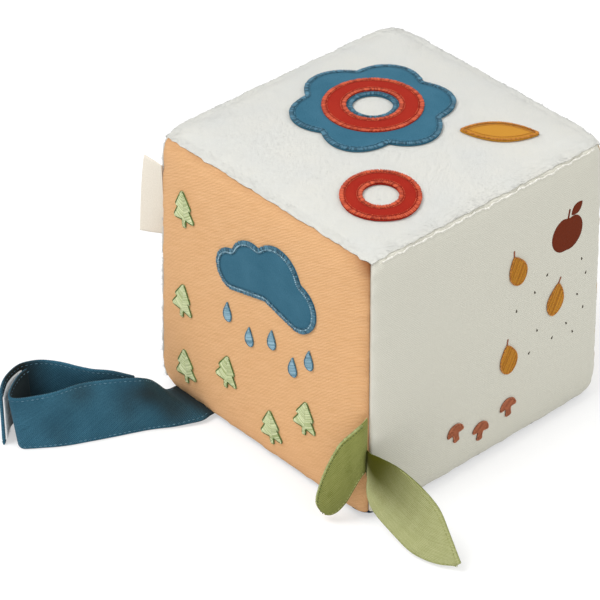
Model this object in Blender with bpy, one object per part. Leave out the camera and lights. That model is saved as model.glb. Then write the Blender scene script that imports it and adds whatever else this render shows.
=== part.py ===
# Soft fabric activity block: a stuffed cube sewn from six cloth panels, with cloth motifs on
# three of them, two loose leaves in the front seam, a folded tag in the left seam, and a
# hook-and-loop strap that comes out of the seam under the front panel.
#
# Metres, +Z up. The origin is the middle of the base, on the surface that the block stands on.
# The front panel faces -Y, the right one +X, and the top one +Z.

import math

import bmesh
import bpy
from mathutils import Matrix, Vector

# Units
mm = 0.001
weld_distance = 0.01 * mm

# The block's form: a cube with rounded, drawn-in edges and crowned faces, wider at its base
base_width_x = 128.4 * mm
base_width_y = 131.6 * mm
top_width_x = 123.2 * mm
top_width_y = 128.6 * mm
block_height = 124.7 * mm
flat_depth = 0.5 * mm  # the form is cut flat this deep where it stands
side_crown = 1.5 * mm
top_crown = 3.0 * mm
edge_power = 16  # how square the form's edges are
cell_count = 12  # cells across a panel
crease_angle = 40.0  # degrees between faces that still shade as one surface

# The cloths
cotton_thickness = 1.2 * mm
plush_thickness = 2.5 * mm
seam_gap = 0.3 * mm  # between two panels at their seam
cloth_gap = 0.3 * mm  # between one layer and the next
motif_thickness = 0.9 * mm
thread_thickness = 0.8 * mm
cutter_depth = 15.0 * mm  # half the depth of the prism that trims a motif to its outline

# Motifs on the top panel, placed from its middle
flower_radius = 33.0 * mm
flower_petals = 6
flower_wave_share = 0.17
flower_window_radius = 8.0 * mm
flower_place = (-12.0 * mm, 6.0 * mm)
flower_ring_radius = 20.0 * mm
flower_ring_hole = 10.5 * mm
dot_ring_radius = 15.5 * mm
dot_ring_hole = 7.0 * mm
dot_ring_place = (34.0 * mm, -33.0 * mm)
mustard_leaf_length = 31.0 * mm
mustard_leaf_width = 13.0 * mm
mustard_leaf_place = (33.0 * mm, 31.0 * mm)
mustard_leaf_turn = 48.0

# Motifs on the front panel, placed from the middle of its lower edge
cloud_width = 58.0 * mm
cloud_height = 31.0 * mm
cloud_place = (6.0 * mm, 88.0 * mm)
drop_length = 9.0 * mm
drop_width = 5.2 * mm
drop_places = ((-16.0 * mm, 62.0 * mm), (-3.0 * mm, 57.0 * mm), (10.0 * mm, 62.5 * mm),
               (22.0 * mm, 56.0 * mm), (31.0 * mm, 64.0 * mm))
tree_height = 16.0 * mm
tree_width = 12.5 * mm
tree_places = ((-43.0 * mm, 96.0 * mm), (-44.0 * mm, 52.0 * mm), (-43.0 * mm, 20.0 * mm),
               (-17.0 * mm, 32.0 * mm), (9.0 * mm, 19.0 * mm), (29.0 * mm, 35.0 * mm))
tree_turns = (6.0, -5.0, 4.0, -6.0, 3.0, -4.0)

# Motifs on the right panel, placed from the middle of its lower edge
pear_height = 14.0 * mm
pear_width = 9.5 * mm
pear_places = ((12.0 * mm, 86.0 * mm), (34.0 * mm, 62.0 * mm), (8.0 * mm, 46.0 * mm))
pear_turns = (16.0, -12.0, 8.0)
mushroom_height = 9.0 * mm
mushroom_width = 8.5 * mm
mushroom_places = ((-20.0 * mm, 24.0 * mm), (-6.0 * mm, 18.0 * mm), (9.0 * mm, 22.0 * mm))
mushroom_turns = (9.0, -7.0, 5.0)

# The two leaves, sewn into the front seam, hang from the block's corner to the floor
leaf_ply = 0.7 * mm
leaf_ply_gap = 0.3 * mm
leaf_seam_stand_off = 1.5 * mm  # from the seam's ridge out to the leaves' hinge lines
leaf_root_gap = 0.3 * mm  # from each hinge line to its leaf, and between the leaves' roots
left_leaf_reach = 20.3 * mm
left_leaf_rise = 52.0 * mm
left_leaf_heading = -146.0
left_leaf_cup = 2.2 * mm
right_leaf_reach = 43.0 * mm
right_leaf_rise = 36.0 * mm
right_leaf_heading = 9.5
right_leaf_sway = 3.4 * mm
right_leaf_cup = 1.4 * mm

# The woven tag, folded and sewn into the left seam
tag_height = 33.0 * mm
tag_reach = 8.6 * mm
tag_thickness = 1.4 * mm
tag_top_level = 107.5 * mm
tag_seam_stand_off = 1.4 * mm
tag_top_heading = 180.0
tag_bottom_heading = -146.0

# The strap, which lies on its edge on the floor and closes on itself with hook-and-loop tape
strap_width = 26.0 * mm
strap_thickness = 1.5 * mm
strap_floor_gap = 0.25 * mm
strap_reach = 70.5 * mm  # from the seam to the strap's ends
strap_place = -41.0 * mm  # the middle of its root along the seam
strap_root_stand_off = 1.3 * mm
strap_root_level = 2.7 * mm  # height of the middle of the flat root's cloth
strap_root_width_share = 0.92  # of the strap's width, which the seam draws in
tape_margin = 2.5 * mm  # from the strap's edges to its tapes
hook_tape_thickness = 0.9 * mm
loop_tape_thickness = 1.2 * mm
hook_cover_share = 0.2  # of the near half's length: the part that is turned back
loop_cover_share = 0.3  # of the far half's length
far_start_share = 0.2625  # along the near half, where the far half is sewn to it

# The strap's route in plan, in shares of its reach: out from the seam and to the left. The near
# half has its floor edge and its upper edge, with how much of their full change of height each
# has made; past the end of its long side it turns back inside the far half's end. The far half
# has its bow between the place where it is sewn on and its end, which has a foot and a top.
near_floor_shares = ((0.067, -0.165), (0.193, -0.094), (0.308, -0.010), (0.424, 0.041),
                     (0.603, 0.122), (0.777, 0.207), (0.930, 0.315), (0.984, 0.367),
                     (0.959, 0.419), (0.887, 0.481), (0.814, 0.515), (0.772, 0.521))
near_floor_fall_shares = (0.30, 0.75) + (1.0,) * 10
near_upper_shares = ((0.11, 0.112), (0.235, 0.068), (0.359, 0.034), (0.475, 0.120), (0.63, 0.208),
                     (0.80, 0.250), (0.950, 0.318), (1.003, 0.370), (0.970, 0.422), (0.887, 0.481),
                     (0.814, 0.515), (0.772, 0.521))
near_upper_rise_shares = (0.24, 0.62) + (1.0,) * 10
far_bow_shares = ((0.432, 0.172), (0.508, 0.250), (0.561, 0.338), (0.605, 0.430), (0.670, 0.522),
                  (0.752, 0.580), (0.830, 0.575), (0.921, 0.534))
far_end_shares = ((1.0, 0.466), (1.021, 0.446))

# Colours, roughness and metallic value of each material
peach = (0.75, 0.44, 0.22)
cream = (0.60, 0.59, 0.51)
white_plush = (0.78, 0.78, 0.73)
navy = (0.03, 0.06, 0.12)
oat = (0.70, 0.62, 0.47)
wadding = (0.86, 0.86, 0.84)
velvet_blue = (0.055, 0.16, 0.24)
brick_red = (0.36, 0.035, 0.017)
mustard = (0.55, 0.26, 0.026)
pear_gold = (0.43, 0.17, 0.013)
mushroom_brown = (0.26, 0.08, 0.03)
tree_green = (0.40, 0.52, 0.22)
drop_blue = (0.30, 0.48, 0.58)
leaf_olive = (0.26, 0.30, 0.10)
leaf_pale = (0.42, 0.46, 0.22)
denim = (0.026, 0.09, 0.155)
tape_white = (0.80, 0.80, 0.78)
tag_white = (0.84, 0.80, 0.72)

# The six panels: the way each faces, the way across it and the way up it
faces = {
    "front": (Vector((0, -1, 0)), Vector((1, 0, 0)), Vector((0, 0, 1))),
    "right": (Vector((1, 0, 0)), Vector((0, 1, 0)), Vector((0, 0, 1))),
    "back": (Vector((0, 1, 0)), Vector((-1, 0, 0)), Vector((0, 0, 1))),
    "left": (Vector((-1, 0, 0)), Vector((0, -1, 0)), Vector((0, 0, 1))),
    "top": (Vector((0, 0, 1)), Vector((1, 0, 0)), Vector((0, 1, 0))),
    "bottom": (Vector((0, 0, -1)), Vector((1, 0, 0)), Vector((0, -1, 0))),
}


def clear_scene():
    for item in list(bpy.data.objects):
        bpy.data.objects.remove(item, do_unlink=True)


def make_collection(name):
    group = bpy.data.collections.new(name)
    bpy.context.scene.collection.children.link(group)
    return group


def material(name, colour, roughness):
    finish = bpy.data.materials.new(name)
    finish.use_nodes = True
    shader = finish.node_tree.nodes["Principled BSDF"]
    shader.inputs["Base Color"].default_value = (*colour, 1.0)
    shader.inputs["Roughness"].default_value = roughness
    shader.inputs["Metallic"].default_value = 0.0
    return finish


def add_object(name, mesh, finish, group, origin=Vector((0, 0, 0))):
    """The mesh as an object, with its origin moved to the place given."""
    mesh.transform(Matrix.Translation(-origin))
    mesh.materials.append(finish)
    item = bpy.data.objects.new(name, mesh)
    item.location = origin
    group.objects.link(item)
    return item


def mix(low, high, share):
    return low + (high - low) * share


def smooth_path(points, share):
    """The point at a share of the way along a smooth curve through the points given."""
    count = len(points) - 1
    place = min(max(share, 0.0), 1.0) * count
    index = min(int(place), count - 1)
    t = place - index
    before = points[max(index - 1, 0)]
    start, end = points[index], points[index + 1]
    after = points[min(index + 2, count)]
    slope_in = (end - before) / 2
    slope_out = (after - start) / 2
    return (start * (2 * t ** 3 - 3 * t ** 2 + 1) + slope_in * (t ** 3 - 2 * t ** 2 + t)
            + end * (3 * t ** 2 - 2 * t ** 3) + slope_out * (t ** 3 - t ** 2))


def edge_spacing(share):
    """Even cells from -1 to 1, drawn closer together towards the edges."""
    return share * (1.5 - 0.5 * share ** 2)


def cloth_thickness(way, value):
    """The cloth on the side that a cube's point faces: plush on top and on the left."""
    plush = (way == 0 and value < 0) or (way == 2 and value > 0)
    return plush_thickness if plush else cotton_thickness


def form_point(cube, depth_share=0.0, sink=0.0):
    """A point of the cube from -1 to 1, carried to the block's form. It lies a share of the
    cover's thickness under its surface, and then so far deeper."""
    size = sum(abs(value) ** edge_power for value in cube) ** (1 / edge_power)
    x, y, z = (value / size for value in cube)
    under = [cloth_thickness(way, cube[way]) * depth_share + sink for way in range(3)]
    level = (z + 1) / 2
    half_x = mix(base_width_x, top_width_x, level) / 2 - under[0]
    half_y = mix(base_width_y, top_width_y, level) / 2 - under[1]
    half_z = (block_height + flat_depth) / 2
    point = Vector((x * half_x, y * half_y, half_z - flat_depth + z * (half_z - under[2])))
    bare = [1 - value ** 2 for value in cube]
    on_face = [abs(value) > 1 - seam_gap / block_height for value in cube]
    point.x += side_crown * math.copysign(bare[1] * bare[2], x) if on_face[0] else 0
    point.y += side_crown * math.copysign(bare[0] * bare[2], y) if on_face[1] else 0
    point.z += top_crown * bare[0] * bare[1] if on_face[2] and z > 0 else 0
    point.z = max(point.z, cotton_thickness * depth_share + max(sink, 0.0))
    return point


def panel_point(face, across, up, depth_share=0.0, sink=0.0):
    """A point of a panel, from -1 to 1 each way."""
    normal, across_way, up_way = faces[face]
    return form_point(normal + across_way * across + up_way * up, depth_share, sink)


def slab(name, across_cells, up_cells, place):
    """A closed slab of cells: a cube cut into a grid, each corner then moved to its place.
    place takes the share across and up, each -1 to 1, and whether the corner is on the outside."""
    build = bmesh.new()
    bmesh.ops.create_cube(build, size=2)
    for way, cells in ((0, across_cells), (1, up_cells)):
        edges = [edge for edge in build.edges
                 if abs(edge.verts[0].co[way] - edge.verts[1].co[way]) > 1]
        if cells > 1:
            bmesh.ops.subdivide_edges(build, edges=edges, cuts=cells - 1, use_grid_fill=True)
    for corner in build.verts:
        corner.co = place(corner.co.x, corner.co.y, corner.co.z > 0)
    if build.calc_volume(signed=True) < 0:
        bmesh.ops.reverse_faces(build, faces=build.faces)
    mesh = bpy.data.meshes.new(name)
    build.to_mesh(mesh)
    build.free()
    mesh.shade_smooth()
    mesh.set_sharp_from_angle(angle=math.radians(crease_angle))
    return mesh


def panel_slab(name, face, inner, outer):
    """A layer of cloth over one face, between two depths. Each depth is a share of the cover's
    thickness and a length added to it."""
    gap_share = seam_gap / block_height

    def place(across, up, outside):
        across = edge_spacing(across) * (1 - gap_share)
        up = edge_spacing(up) * (1 - gap_share)
        return panel_point(face, across, up, *(outer if outside else inner))

    return slab(name, cell_count, cell_count, place)


def make_panel(face, cloth, finish, group):
    name = "panel_" + face + "_" + cloth
    return add_object(name, panel_slab(name, face, (1.0, 0.0), (0.0, 0.0)), finish, group)


def make_filling(finish, group):
    """The wadding that fills the cover, just clear of each panel's back."""
    build = bmesh.new()
    bmesh.ops.create_cube(build, size=2)
    bmesh.ops.subdivide_edges(build, edges=build.edges[:], cuts=cell_count - 1, use_grid_fill=True)
    for corner in build.verts:
        cube = Vector([edge_spacing(value) for value in corner.co])
        corner.co = form_point(cube, 1.0, cloth_gap)
    mesh = bpy.data.meshes.new("filling")
    build.to_mesh(mesh)
    build.free()
    mesh.shade_smooth()
    return add_object("filling", mesh, finish, group)


def turned(points, degrees, place):
    """Outline points turned about their middle and moved to a place."""
    turn = Matrix.Rotation(math.radians(degrees), 2)
    return [turn @ Vector(point) + Vector(place) for point in points]


def circle_outline(radius, place, count=40):
    steps = [2 * math.pi * index / count for index in range(count)]
    return [Vector((radius * math.cos(a), radius * math.sin(a))) + Vector(place) for a in steps]


def flower_outline(radius, place, count=72):
    points = []
    for index in range(count):
        angle = 2 * math.pi * index / count
        reach = radius * (1 - flower_wave_share * (1 - abs(math.cos(flower_petals * angle / 2))))
        points.append(Vector((reach * math.cos(angle), reach * math.sin(angle))) + Vector(place))
    return points


def leaf_outline(length, width, count=8):
    """A pointed leaf along X, each side an arch."""
    shares = [index / count for index in range(count)]
    upper = [(length * (s - 0.5), width / 2 * math.sin(math.pi * s) ** 0.8) for s in shares]
    lower = [(-x, -y) for x, y in upper]
    return upper + lower


def drop_outline(length, width, count=14):
    """A raindrop, its point upwards."""
    points = []
    for index in range(count):
        angle = 2 * math.pi * index / count
        taper = math.sin(angle / 2) ** 1.6
        points.append((width / 2 * math.sin(angle) * taper * 1.3, length / 2 * math.cos(angle)))
    return points[::-1]


def cloud_outline(width, height, count=64):
    """A flat-bottomed cloud: the outer edge of four round heaps, seen from inside its base."""
    heap_shares = ((0.30, -0.10, 0.19), (0.11, 0.14, 0.23), (-0.14, 0.04, 0.20), (-0.33, -0.16, 0.16))
    middle = Vector((0.0, -0.3 * height))
    points = []
    for index in range(count):
        angle = 2 * math.pi * index / count
        ray = Vector((math.cos(angle), math.sin(angle)))
        reach = 0.0
        for x_share, y_share, radius_share in heap_shares:
            across = Vector((x_share * width, y_share * height)) - middle
            along = across.dot(ray)
            room = (radius_share * width) ** 2 - (across.length_squared - along ** 2)
            if room > 0:
                reach = max(reach, along + math.sqrt(room))
        if ray.y < 0:
            reach = min(reach, 0.2 * height / -ray.y)
        points.append(middle + ray * reach)
    return points


def tree_outline(width, height):
    """A small fir tree of two tiers on a stem: the right half, then its mirror image."""
    half_shares = ((0.07, -0.50), (0.07, -0.30), (0.46, -0.32), (0.50, -0.26), (0.27, 0.02),
                   (0.36, 0.02), (0.38, 0.07), (0.06, 0.47), (0.0, 0.50))
    right = [(x * width, y * height) for x, y in half_shares]
    left = [(-x, y) for x, y in right[-2::-1]]
    return right + left


def mushroom_outline(width, height, count=10):
    """A stem under a domed cap."""
    stem_shares = ((0.15, -0.02), (0.13, -0.30), (0.18, -0.46), (0.0, -0.50), (-0.18, -0.46),
                   (-0.13, -0.30), (-0.15, -0.02))
    steps = [math.pi * index / count for index in range(count + 1)]
    cap = [(-width / 2 * math.cos(a), height * (0.5 * math.sin(a) - 0.04)) for a in steps]
    return [(x * width, y * height) for x, y in stem_shares] + cap


def pear_outline(width, height, count=18):
    """A pear, its neck upwards."""
    points = []
    for index in range(count):
        angle = 2 * math.pi * index / count
        level = math.cos(angle)
        girth = 0.80 - 0.26 * level - 0.14 * math.cos(2 * angle)
        points.append((width / 2 * math.sin(angle) * girth, height / 2 * level))
    return points[::-1]


def outline_cutter(name, outline, face, holes, group):
    """A flat outline as a deep prism that stands on a panel, with its holes left open. On an
    upright panel it is placed from the middle of the floor line, on top from the middle."""
    curve = bpy.data.curves.new(name, "CURVE")
    curve.dimensions = "2D"
    curve.fill_mode = "BOTH"
    curve.extrude = cutter_depth
    for ring in [outline] + holes:
        spline = curve.splines.new("POLY")
        spline.points.add(len(ring) - 1)
        for point, place in zip(spline.points, ring):
            point.co = (place[0], place[1], 0.0, 1.0)
        spline.use_cyclic_u = True
    flat = bpy.data.objects.new(name + "_flat", curve)
    group.objects.link(flat)
    bpy.context.view_layer.update()
    mesh = bpy.data.meshes.new_from_object(flat.evaluated_get(bpy.context.evaluated_depsgraph_get()))
    bpy.data.objects.remove(flat, do_unlink=True)
    normal, across_way, up_way = faces[face]
    centre = panel_point(face, 0.0, 0.0)
    if face != "top":
        centre.z = 0.0
    turn = Matrix((across_way, up_way, normal)).transposed().to_4x4()
    mesh.transform(Matrix.Translation(centre) @ turn)
    weld = bmesh.new()
    weld.from_mesh(mesh)
    bmesh.ops.remove_doubles(weld, verts=weld.verts, dist=weld_distance)
    bmesh.ops.recalc_face_normals(weld, faces=weld.faces)
    weld.to_mesh(mesh)
    weld.free()
    cutter = bpy.data.objects.new(name + "_cutter", mesh)
    cutter.hide_render = True
    cutter.display_type = "WIRE"
    group.objects.link(cutter)
    return cutter


def make_motif(name, face, outline, finish, thickness, parts, cutters, lift=0.0, holes=()):
    """A flat cloth or thread motif that follows its panel's crown, cut to its outline."""
    under = -(cloth_gap + lift)
    mesh = panel_slab(name, face, (0.0, under), (0.0, under - thickness))
    motif = add_object(name, mesh, finish, parts)
    cutter = outline_cutter(name, outline, face, list(holes), cutters)
    cut = motif.modifiers.new("outline", "BOOLEAN")
    cut.operation = "INTERSECT"
    cut.object = cutter
    return motif


def make_top_motifs(parts, cutters):
    blue = material("blue velvet", velvet_blue, 0.8)
    red = material("red felt", brick_red, 0.8)
    gold = material("mustard cotton", mustard, 0.75)
    make_motif("flower_blue", "top", flower_outline(flower_radius, flower_place), blue,
               motif_thickness, parts, cutters,
               holes=[circle_outline(flower_window_radius, flower_place)])
    make_motif("flower_ring_red", "top", circle_outline(flower_ring_radius, flower_place), red,
               motif_thickness, parts, cutters, lift=motif_thickness + cloth_gap,
               holes=[circle_outline(flower_ring_hole, flower_place)])
    make_motif("dot_ring_red", "top", circle_outline(dot_ring_radius, dot_ring_place), red,
               motif_thickness, parts, cutters,
               holes=[circle_outline(dot_ring_hole, dot_ring_place)])
    leaf = turned(leaf_outline(mustard_leaf_length, mustard_leaf_width), mustard_leaf_turn,
                  mustard_leaf_place)
    make_motif("leaf_mustard", "top", leaf, gold, motif_thickness, parts, cutters)


def make_front_motifs(parts, cutters):
    blue = material("blue corduroy", velvet_blue, 0.8)
    pale_blue = material("pale blue thread", drop_blue, 0.5)
    green = material("green thread", tree_green, 0.5)
    cloud = turned(cloud_outline(cloud_width, cloud_height), 0.0, cloud_place)
    make_motif("cloud_blue", "front", cloud, blue, motif_thickness, parts, cutters)
    for number, place in enumerate(drop_places, 1):
        drop = turned(drop_outline(drop_length, drop_width), 0.0, place)
        make_motif("raindrop_%d" % number, "front", drop, pale_blue, thread_thickness, parts, cutters)
    for number, (place, turn) in enumerate(zip(tree_places, tree_turns), 1):
        tree = turned(tree_outline(tree_width, tree_height), turn, place)
        make_motif("tree_%d" % number, "front", tree, green, thread_thickness, parts, cutters)


def make_right_motifs(parts, cutters):
    gold = material("mustard thread", pear_gold, 0.5)
    brown = material("brown thread", mushroom_brown, 0.55)
    for number, (place, turn) in enumerate(zip(pear_places, pear_turns), 1):
        pear = turned(pear_outline(pear_width, pear_height), turn, place)
        make_motif("pear_%d" % number, "right", pear, gold, thread_thickness, parts, cutters)
    for number, (place, turn) in enumerate(zip(mushroom_places, mushroom_turns), 1):
        mushroom = turned(mushroom_outline(mushroom_width, mushroom_height), turn, place)
        make_motif("mushroom_%d" % number, "right", mushroom, brown, thread_thickness, parts, cutters)


def seam_ridge(side_x, side_y, height):
    """The point of an upright seam at a height."""
    share = 2 * height / block_height - 1
    return form_point(Vector((side_x, side_y, share)))


def heading(degrees):
    return Vector((math.cos(math.radians(degrees)), math.sin(math.radians(degrees)), 0.0))


def sheet_slab(name, across_cells, up_cells, surface, inner, outer):
    """A slab that lies between two offsets from a curved sheet, square to it."""
    step_share = 0.01

    def place(across, up, outside):
        along = surface(min(across + step_share, 1), up) - surface(max(across - step_share, -1), up)
        rise = surface(across, min(up + step_share, 1)) - surface(across, max(up - step_share, -1))
        normal = along.cross(rise).normalized()
        return surface(across, up) + normal * (outer if outside else inner)

    return slab(name, across_cells, up_cells, place)


def leaf_hinge(side):
    """The line beside the front seam that a leaf turns about. The two leaves lie on each other in
    the seam: side -1 is the left one, next to the front panel, and 1 the right one."""
    ridge = seam_ridge(1, -1, right_leaf_rise)
    apart = leaf_ply + (leaf_ply_gap + leaf_root_gap) / 2
    hinge = ridge + heading(-45.0) * leaf_seam_stand_off + heading(45.0) * side * apart
    return Vector((hinge.x, hinge.y, 0.0))


def leaf_surface(side, way, reach, rise, upper_shares, lower_shares, sway, sway_shares, cup):
    """A leaf from its root on the hinge line to its tip. The tables give, from root to tip, the
    reach and height of its upper edge and of its lower edge, and how far the lower edge sways."""
    hinge = leaf_hinge(side)
    out = heading(way)
    aside = out.cross(Vector((0, 0, 1)))
    upper = [Vector((x * reach, y * rise)) for x, y in upper_shares]
    lower = [Vector((x * reach, y * rise)) for x, y in lower_shares]
    sways = [Vector((value * sway, 0)) for value in sway_shares]

    def surface(across, up):
        share = (across + 1) / 2
        high = smooth_path(upper, share)
        low = smooth_path(lower, share)
        spot = mix(low, high, (up + 1) / 2)
        drift = smooth_path(sways, share).x * (1 - up) / 2
        drift += cup * (1 - up ** 2) * math.sin(math.pi * share)
        point = hinge + Vector((0.0, 0.0, spot.y))
        return point + out * (spot.x + leaf_root_gap) + aside * drift

    return surface


def make_leaf(name, surface, hinge, parts):
    """Two plies of cloth, sewn together round the leaf's edge."""
    olive = material(name + " olive", leaf_olive, 0.85)
    pale = material(name + " pale", leaf_pale, 0.85)
    half_gap = leaf_ply_gap / 2
    far = half_gap + leaf_ply
    for ply, inner, outer, finish in (("front", -far, -half_gap, olive), ("back", half_gap, far, pale)):
        title = name + "_" + ply + "_ply"
        mesh = sheet_slab(title, 10, 5, surface, inner, outer)
        add_object(title, mesh, finish, parts, hinge)


def make_leaves(parts):
    left_upper_shares = ((0.0, 1.0), (0.20, 0.895), (0.43, 0.77), (0.66, 0.57), (0.84, 0.36),
                         (0.99, 0.18), (0.88, 0.075))
    left_lower_shares = ((0.0, 0.51), (0.09, 0.43), (0.19, 0.33), (0.33, 0.21), (0.50, 0.12),
                         (0.65, 0.077), (0.80, 0.065))
    left_sway_shares = (0.0, 0.0, 0.0, 0.0, 0.0, 0.0, 0.0)
    left = leaf_surface(-1, left_leaf_heading, left_leaf_reach, left_leaf_rise, left_upper_shares,
                        left_lower_shares, 0.0, left_sway_shares, -left_leaf_cup)
    make_leaf("leaf_left", left, leaf_hinge(-1), parts)
    right_upper_shares = ((0.0, 1.0), (0.15, 0.985), (0.33, 0.965), (0.55, 0.875), (0.75, 0.715),
                          (0.87, 0.45), (1.0, 0.13))
    right_lower_shares = ((0.0, 0.68), (0.0, 0.42), (0.07, 0.235), (0.30, 0.065), (0.57, 0.045),
                          (0.80, 0.045), (0.97, 0.075))
    right_sway_shares = (0.0, 0.1, 0.25, 0.45, 1.0, 0.8, 0.0)
    right = leaf_surface(1, right_leaf_heading, right_leaf_reach, right_leaf_rise,
                         right_upper_shares, right_lower_shares, right_leaf_sway,
                         right_sway_shares, right_leaf_cup)
    make_leaf("leaf_right", right, leaf_hinge(1), parts)


def tag_hinge():
    ridge = seam_ridge(-1, -1, tag_top_level - tag_height / 2)
    return ridge + Vector((-1, -1, 0)).normalized() * tag_seam_stand_off


def make_tag(parts):
    """The folded tag, which twists a little from its top to its bottom."""
    finish = material("woven tag", tag_white, 0.8)
    hinge = tag_hinge()

    def surface(across, up):
        share = (up + 1) / 2
        way = heading(mix(360 + tag_bottom_heading, tag_top_heading, share))
        level = tag_top_level - tag_height * (1 - share)
        return Vector((hinge.x, hinge.y, level)) + way * (across + 1) / 2 * tag_reach

    mesh = sheet_slab("woven_tag", 4, 8, surface, -tag_thickness / 2, tag_thickness / 2)
    add_object("woven_tag", mesh, finish, parts, Vector((hinge.x, hinge.y, 0.0)))


def strap_root():
    """The middle of the strap's root, just outside the seam under the front panel."""
    low_edge = form_point(Vector((2 * strap_place / base_width_x, -1, -1)))
    return Vector((strap_place, low_edge.y - strap_root_stand_off, strap_root_level))


def strap_hinge():
    """The line that the strap lifts about: the upper edge of its root's end."""
    root = strap_root()
    return Vector((0.0, root.y, root.z + strap_thickness / 2))


def strap_point(out_share, aside_share):
    """A place in plan, by shares of the strap's reach out from the seam and to the left."""
    root = strap_root()
    place = root + Vector((-aside_share, -out_share, 0.0)) * strap_reach
    return Vector((place.x, place.y, 0.0))


def near_edges(share):
    """The near half's floor edge and upper edge, at a share of the way from its root. It leaves
    the seam flat, turns onto its edge, runs out and turns back inside the far half."""
    root = strap_root()
    root_half = Vector((strap_width * strap_root_width_share / 2, 0.0, 0.0))
    floor = [root + root_half]
    for pair, fall in zip(near_floor_shares, near_floor_fall_shares):
        level = mix(strap_root_level, strap_floor_gap, fall)
        floor.append(strap_point(*pair) + Vector((0.0, 0.0, level)))
    upper = [root - root_half]
    for pair, rise in zip(near_upper_shares, near_upper_rise_shares):
        level = mix(strap_root_level, strap_floor_gap + strap_width, rise)
        upper.append(strap_point(*pair) + Vector((0.0, 0.0, level)))
    return smooth_path(floor, share), smooth_path(upper, share)


def near_surface(across, up, trim=1.0):
    low, high = near_edges((across + 1) / 2)
    return mix(low, high, (1 + up * trim) / 2)


def beside_near(share, stand_off):
    """Places beside the near half's floor edge and upper edge, to their left."""
    reach_share = 0.0117
    low, high = near_edges(share)
    before_low, before_high = near_edges(share - reach_share)
    way = low + high - before_low - before_high
    way.z = 0.0
    way.normalize()
    step = Vector((way.y, -way.x, 0.0)) * stand_off
    return low + step, high + step


def far_edges(share):
    """The far half's two edges: sewn to the near half, it bows out and comes back to its end."""
    starts = beside_near(far_start_share, strap_thickness + cloth_gap)
    ends = [strap_point(*pair) for pair in far_end_shares]
    edges = []
    for start, end, level in zip(starts, ends, (strap_floor_gap, strap_floor_gap + strap_width)):
        bow = [strap_point(*pair) for pair in far_bow_shares]
        edge = smooth_path([start] + bow + [end], share)
        edge.z = level
        edges.append(edge)
    return edges


def far_surface(across, up, trim=1.0):
    low, high = far_edges((across + 1) / 2)
    return mix(low, high, (1 + up * trim) / 2)


def far_hinge():
    """The foot and the way of the line that the far half opens about, along its sewn end."""
    low, high = far_edges(0.0)
    return low, (high - low).normalized()


def make_strap(parts):
    cloth = material("denim strap", denim, 0.85)
    white = material("hook-and-loop tape", tape_white, 0.95)
    half = strap_thickness / 2
    near = sheet_slab("strap_near", 40, 3, near_surface, -half, half)
    add_object("strap_near", near, cloth, parts, strap_hinge())
    far = sheet_slab("strap_far", 28, 2, far_surface, -half, half)
    add_object("strap_far", far, cloth, parts, far_hinge()[0])
    trim = 1 - 2 * tape_margin / strap_width

    def hook_surface(across, up):
        return near_surface(mix(1 - 2 * hook_cover_share, 1, (across + 1) / 2), up, trim)

    def loop_surface(across, up):
        return far_surface(mix(1 - 2 * loop_cover_share, 1, (across + 1) / 2), up, trim)

    seat = half + cloth_gap / 2
    hook = sheet_slab("hook_tape", 9, 1, hook_surface, -seat - hook_tape_thickness, -seat)
    add_object("hook_tape", hook, white, parts, strap_hinge())
    loop = sheet_slab("loop_tape", 9, 1, loop_surface, -seat - loop_tape_thickness, -seat)
    add_object("loop_tape", loop, white, parts, far_hinge()[0])


def make_block(parts, cutters):
    plush = material("white plush", white_plush, 0.95)
    make_panel("front", "cotton", material("peach cotton", peach, 0.85), parts)
    make_panel("right", "sateen", material("cream sateen", cream, 0.75), parts)
    make_panel("back", "cotton", material("oat cotton", oat, 0.85), parts)
    make_panel("left", "plush", plush, parts)
    make_panel("top", "plush", plush, parts)
    make_panel("bottom", "cotton", material("navy cotton", navy, 0.85), parts)
    make_filling(material("wadding", wadding, 0.95), parts)
    make_top_motifs(parts, cutters)
    make_front_motifs(parts, cutters)
    make_right_motifs(parts, cutters)


def main():
    clear_scene()
    parts = make_collection("soft_block")
    cutters = make_collection("cutters")
    make_block(parts, cutters)
    make_leaves(parts)
    make_tag(parts)
    make_strap(parts)
    foot, way = far_hinge()
    for title, place in (("hinge of the left leaf", leaf_hinge(-1)),
                         ("hinge of the right leaf", leaf_hinge(1)),
                         ("hinge of the tag", tag_hinge()), ("hinge of the strap", strap_hinge()),
                         ("hinge of the far half", foot), ("its way", way)):
        print(title, [round(value, 5) for value in place])


main()
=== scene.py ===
import math

import bmesh
import bpy
import numpy as np
from mathutils import Matrix, Vector
from mathutils.bvhtree import BVHTree
from mathutils.geometry import delaunay_2d_cdt


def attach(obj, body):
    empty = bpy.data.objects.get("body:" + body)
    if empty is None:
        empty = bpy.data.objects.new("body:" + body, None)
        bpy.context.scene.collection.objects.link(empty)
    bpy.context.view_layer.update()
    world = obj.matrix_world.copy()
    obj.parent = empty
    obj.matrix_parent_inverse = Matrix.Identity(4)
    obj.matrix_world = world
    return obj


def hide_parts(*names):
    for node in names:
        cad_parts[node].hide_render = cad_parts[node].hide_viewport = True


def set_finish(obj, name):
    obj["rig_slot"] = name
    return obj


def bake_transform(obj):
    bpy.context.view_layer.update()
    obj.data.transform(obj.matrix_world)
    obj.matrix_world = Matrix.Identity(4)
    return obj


# A baby's soft fabric block on a pale floor. Metres, +Z up; the peach panel faces -Y, the cream
# one +X, the plush one +Z.

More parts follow.
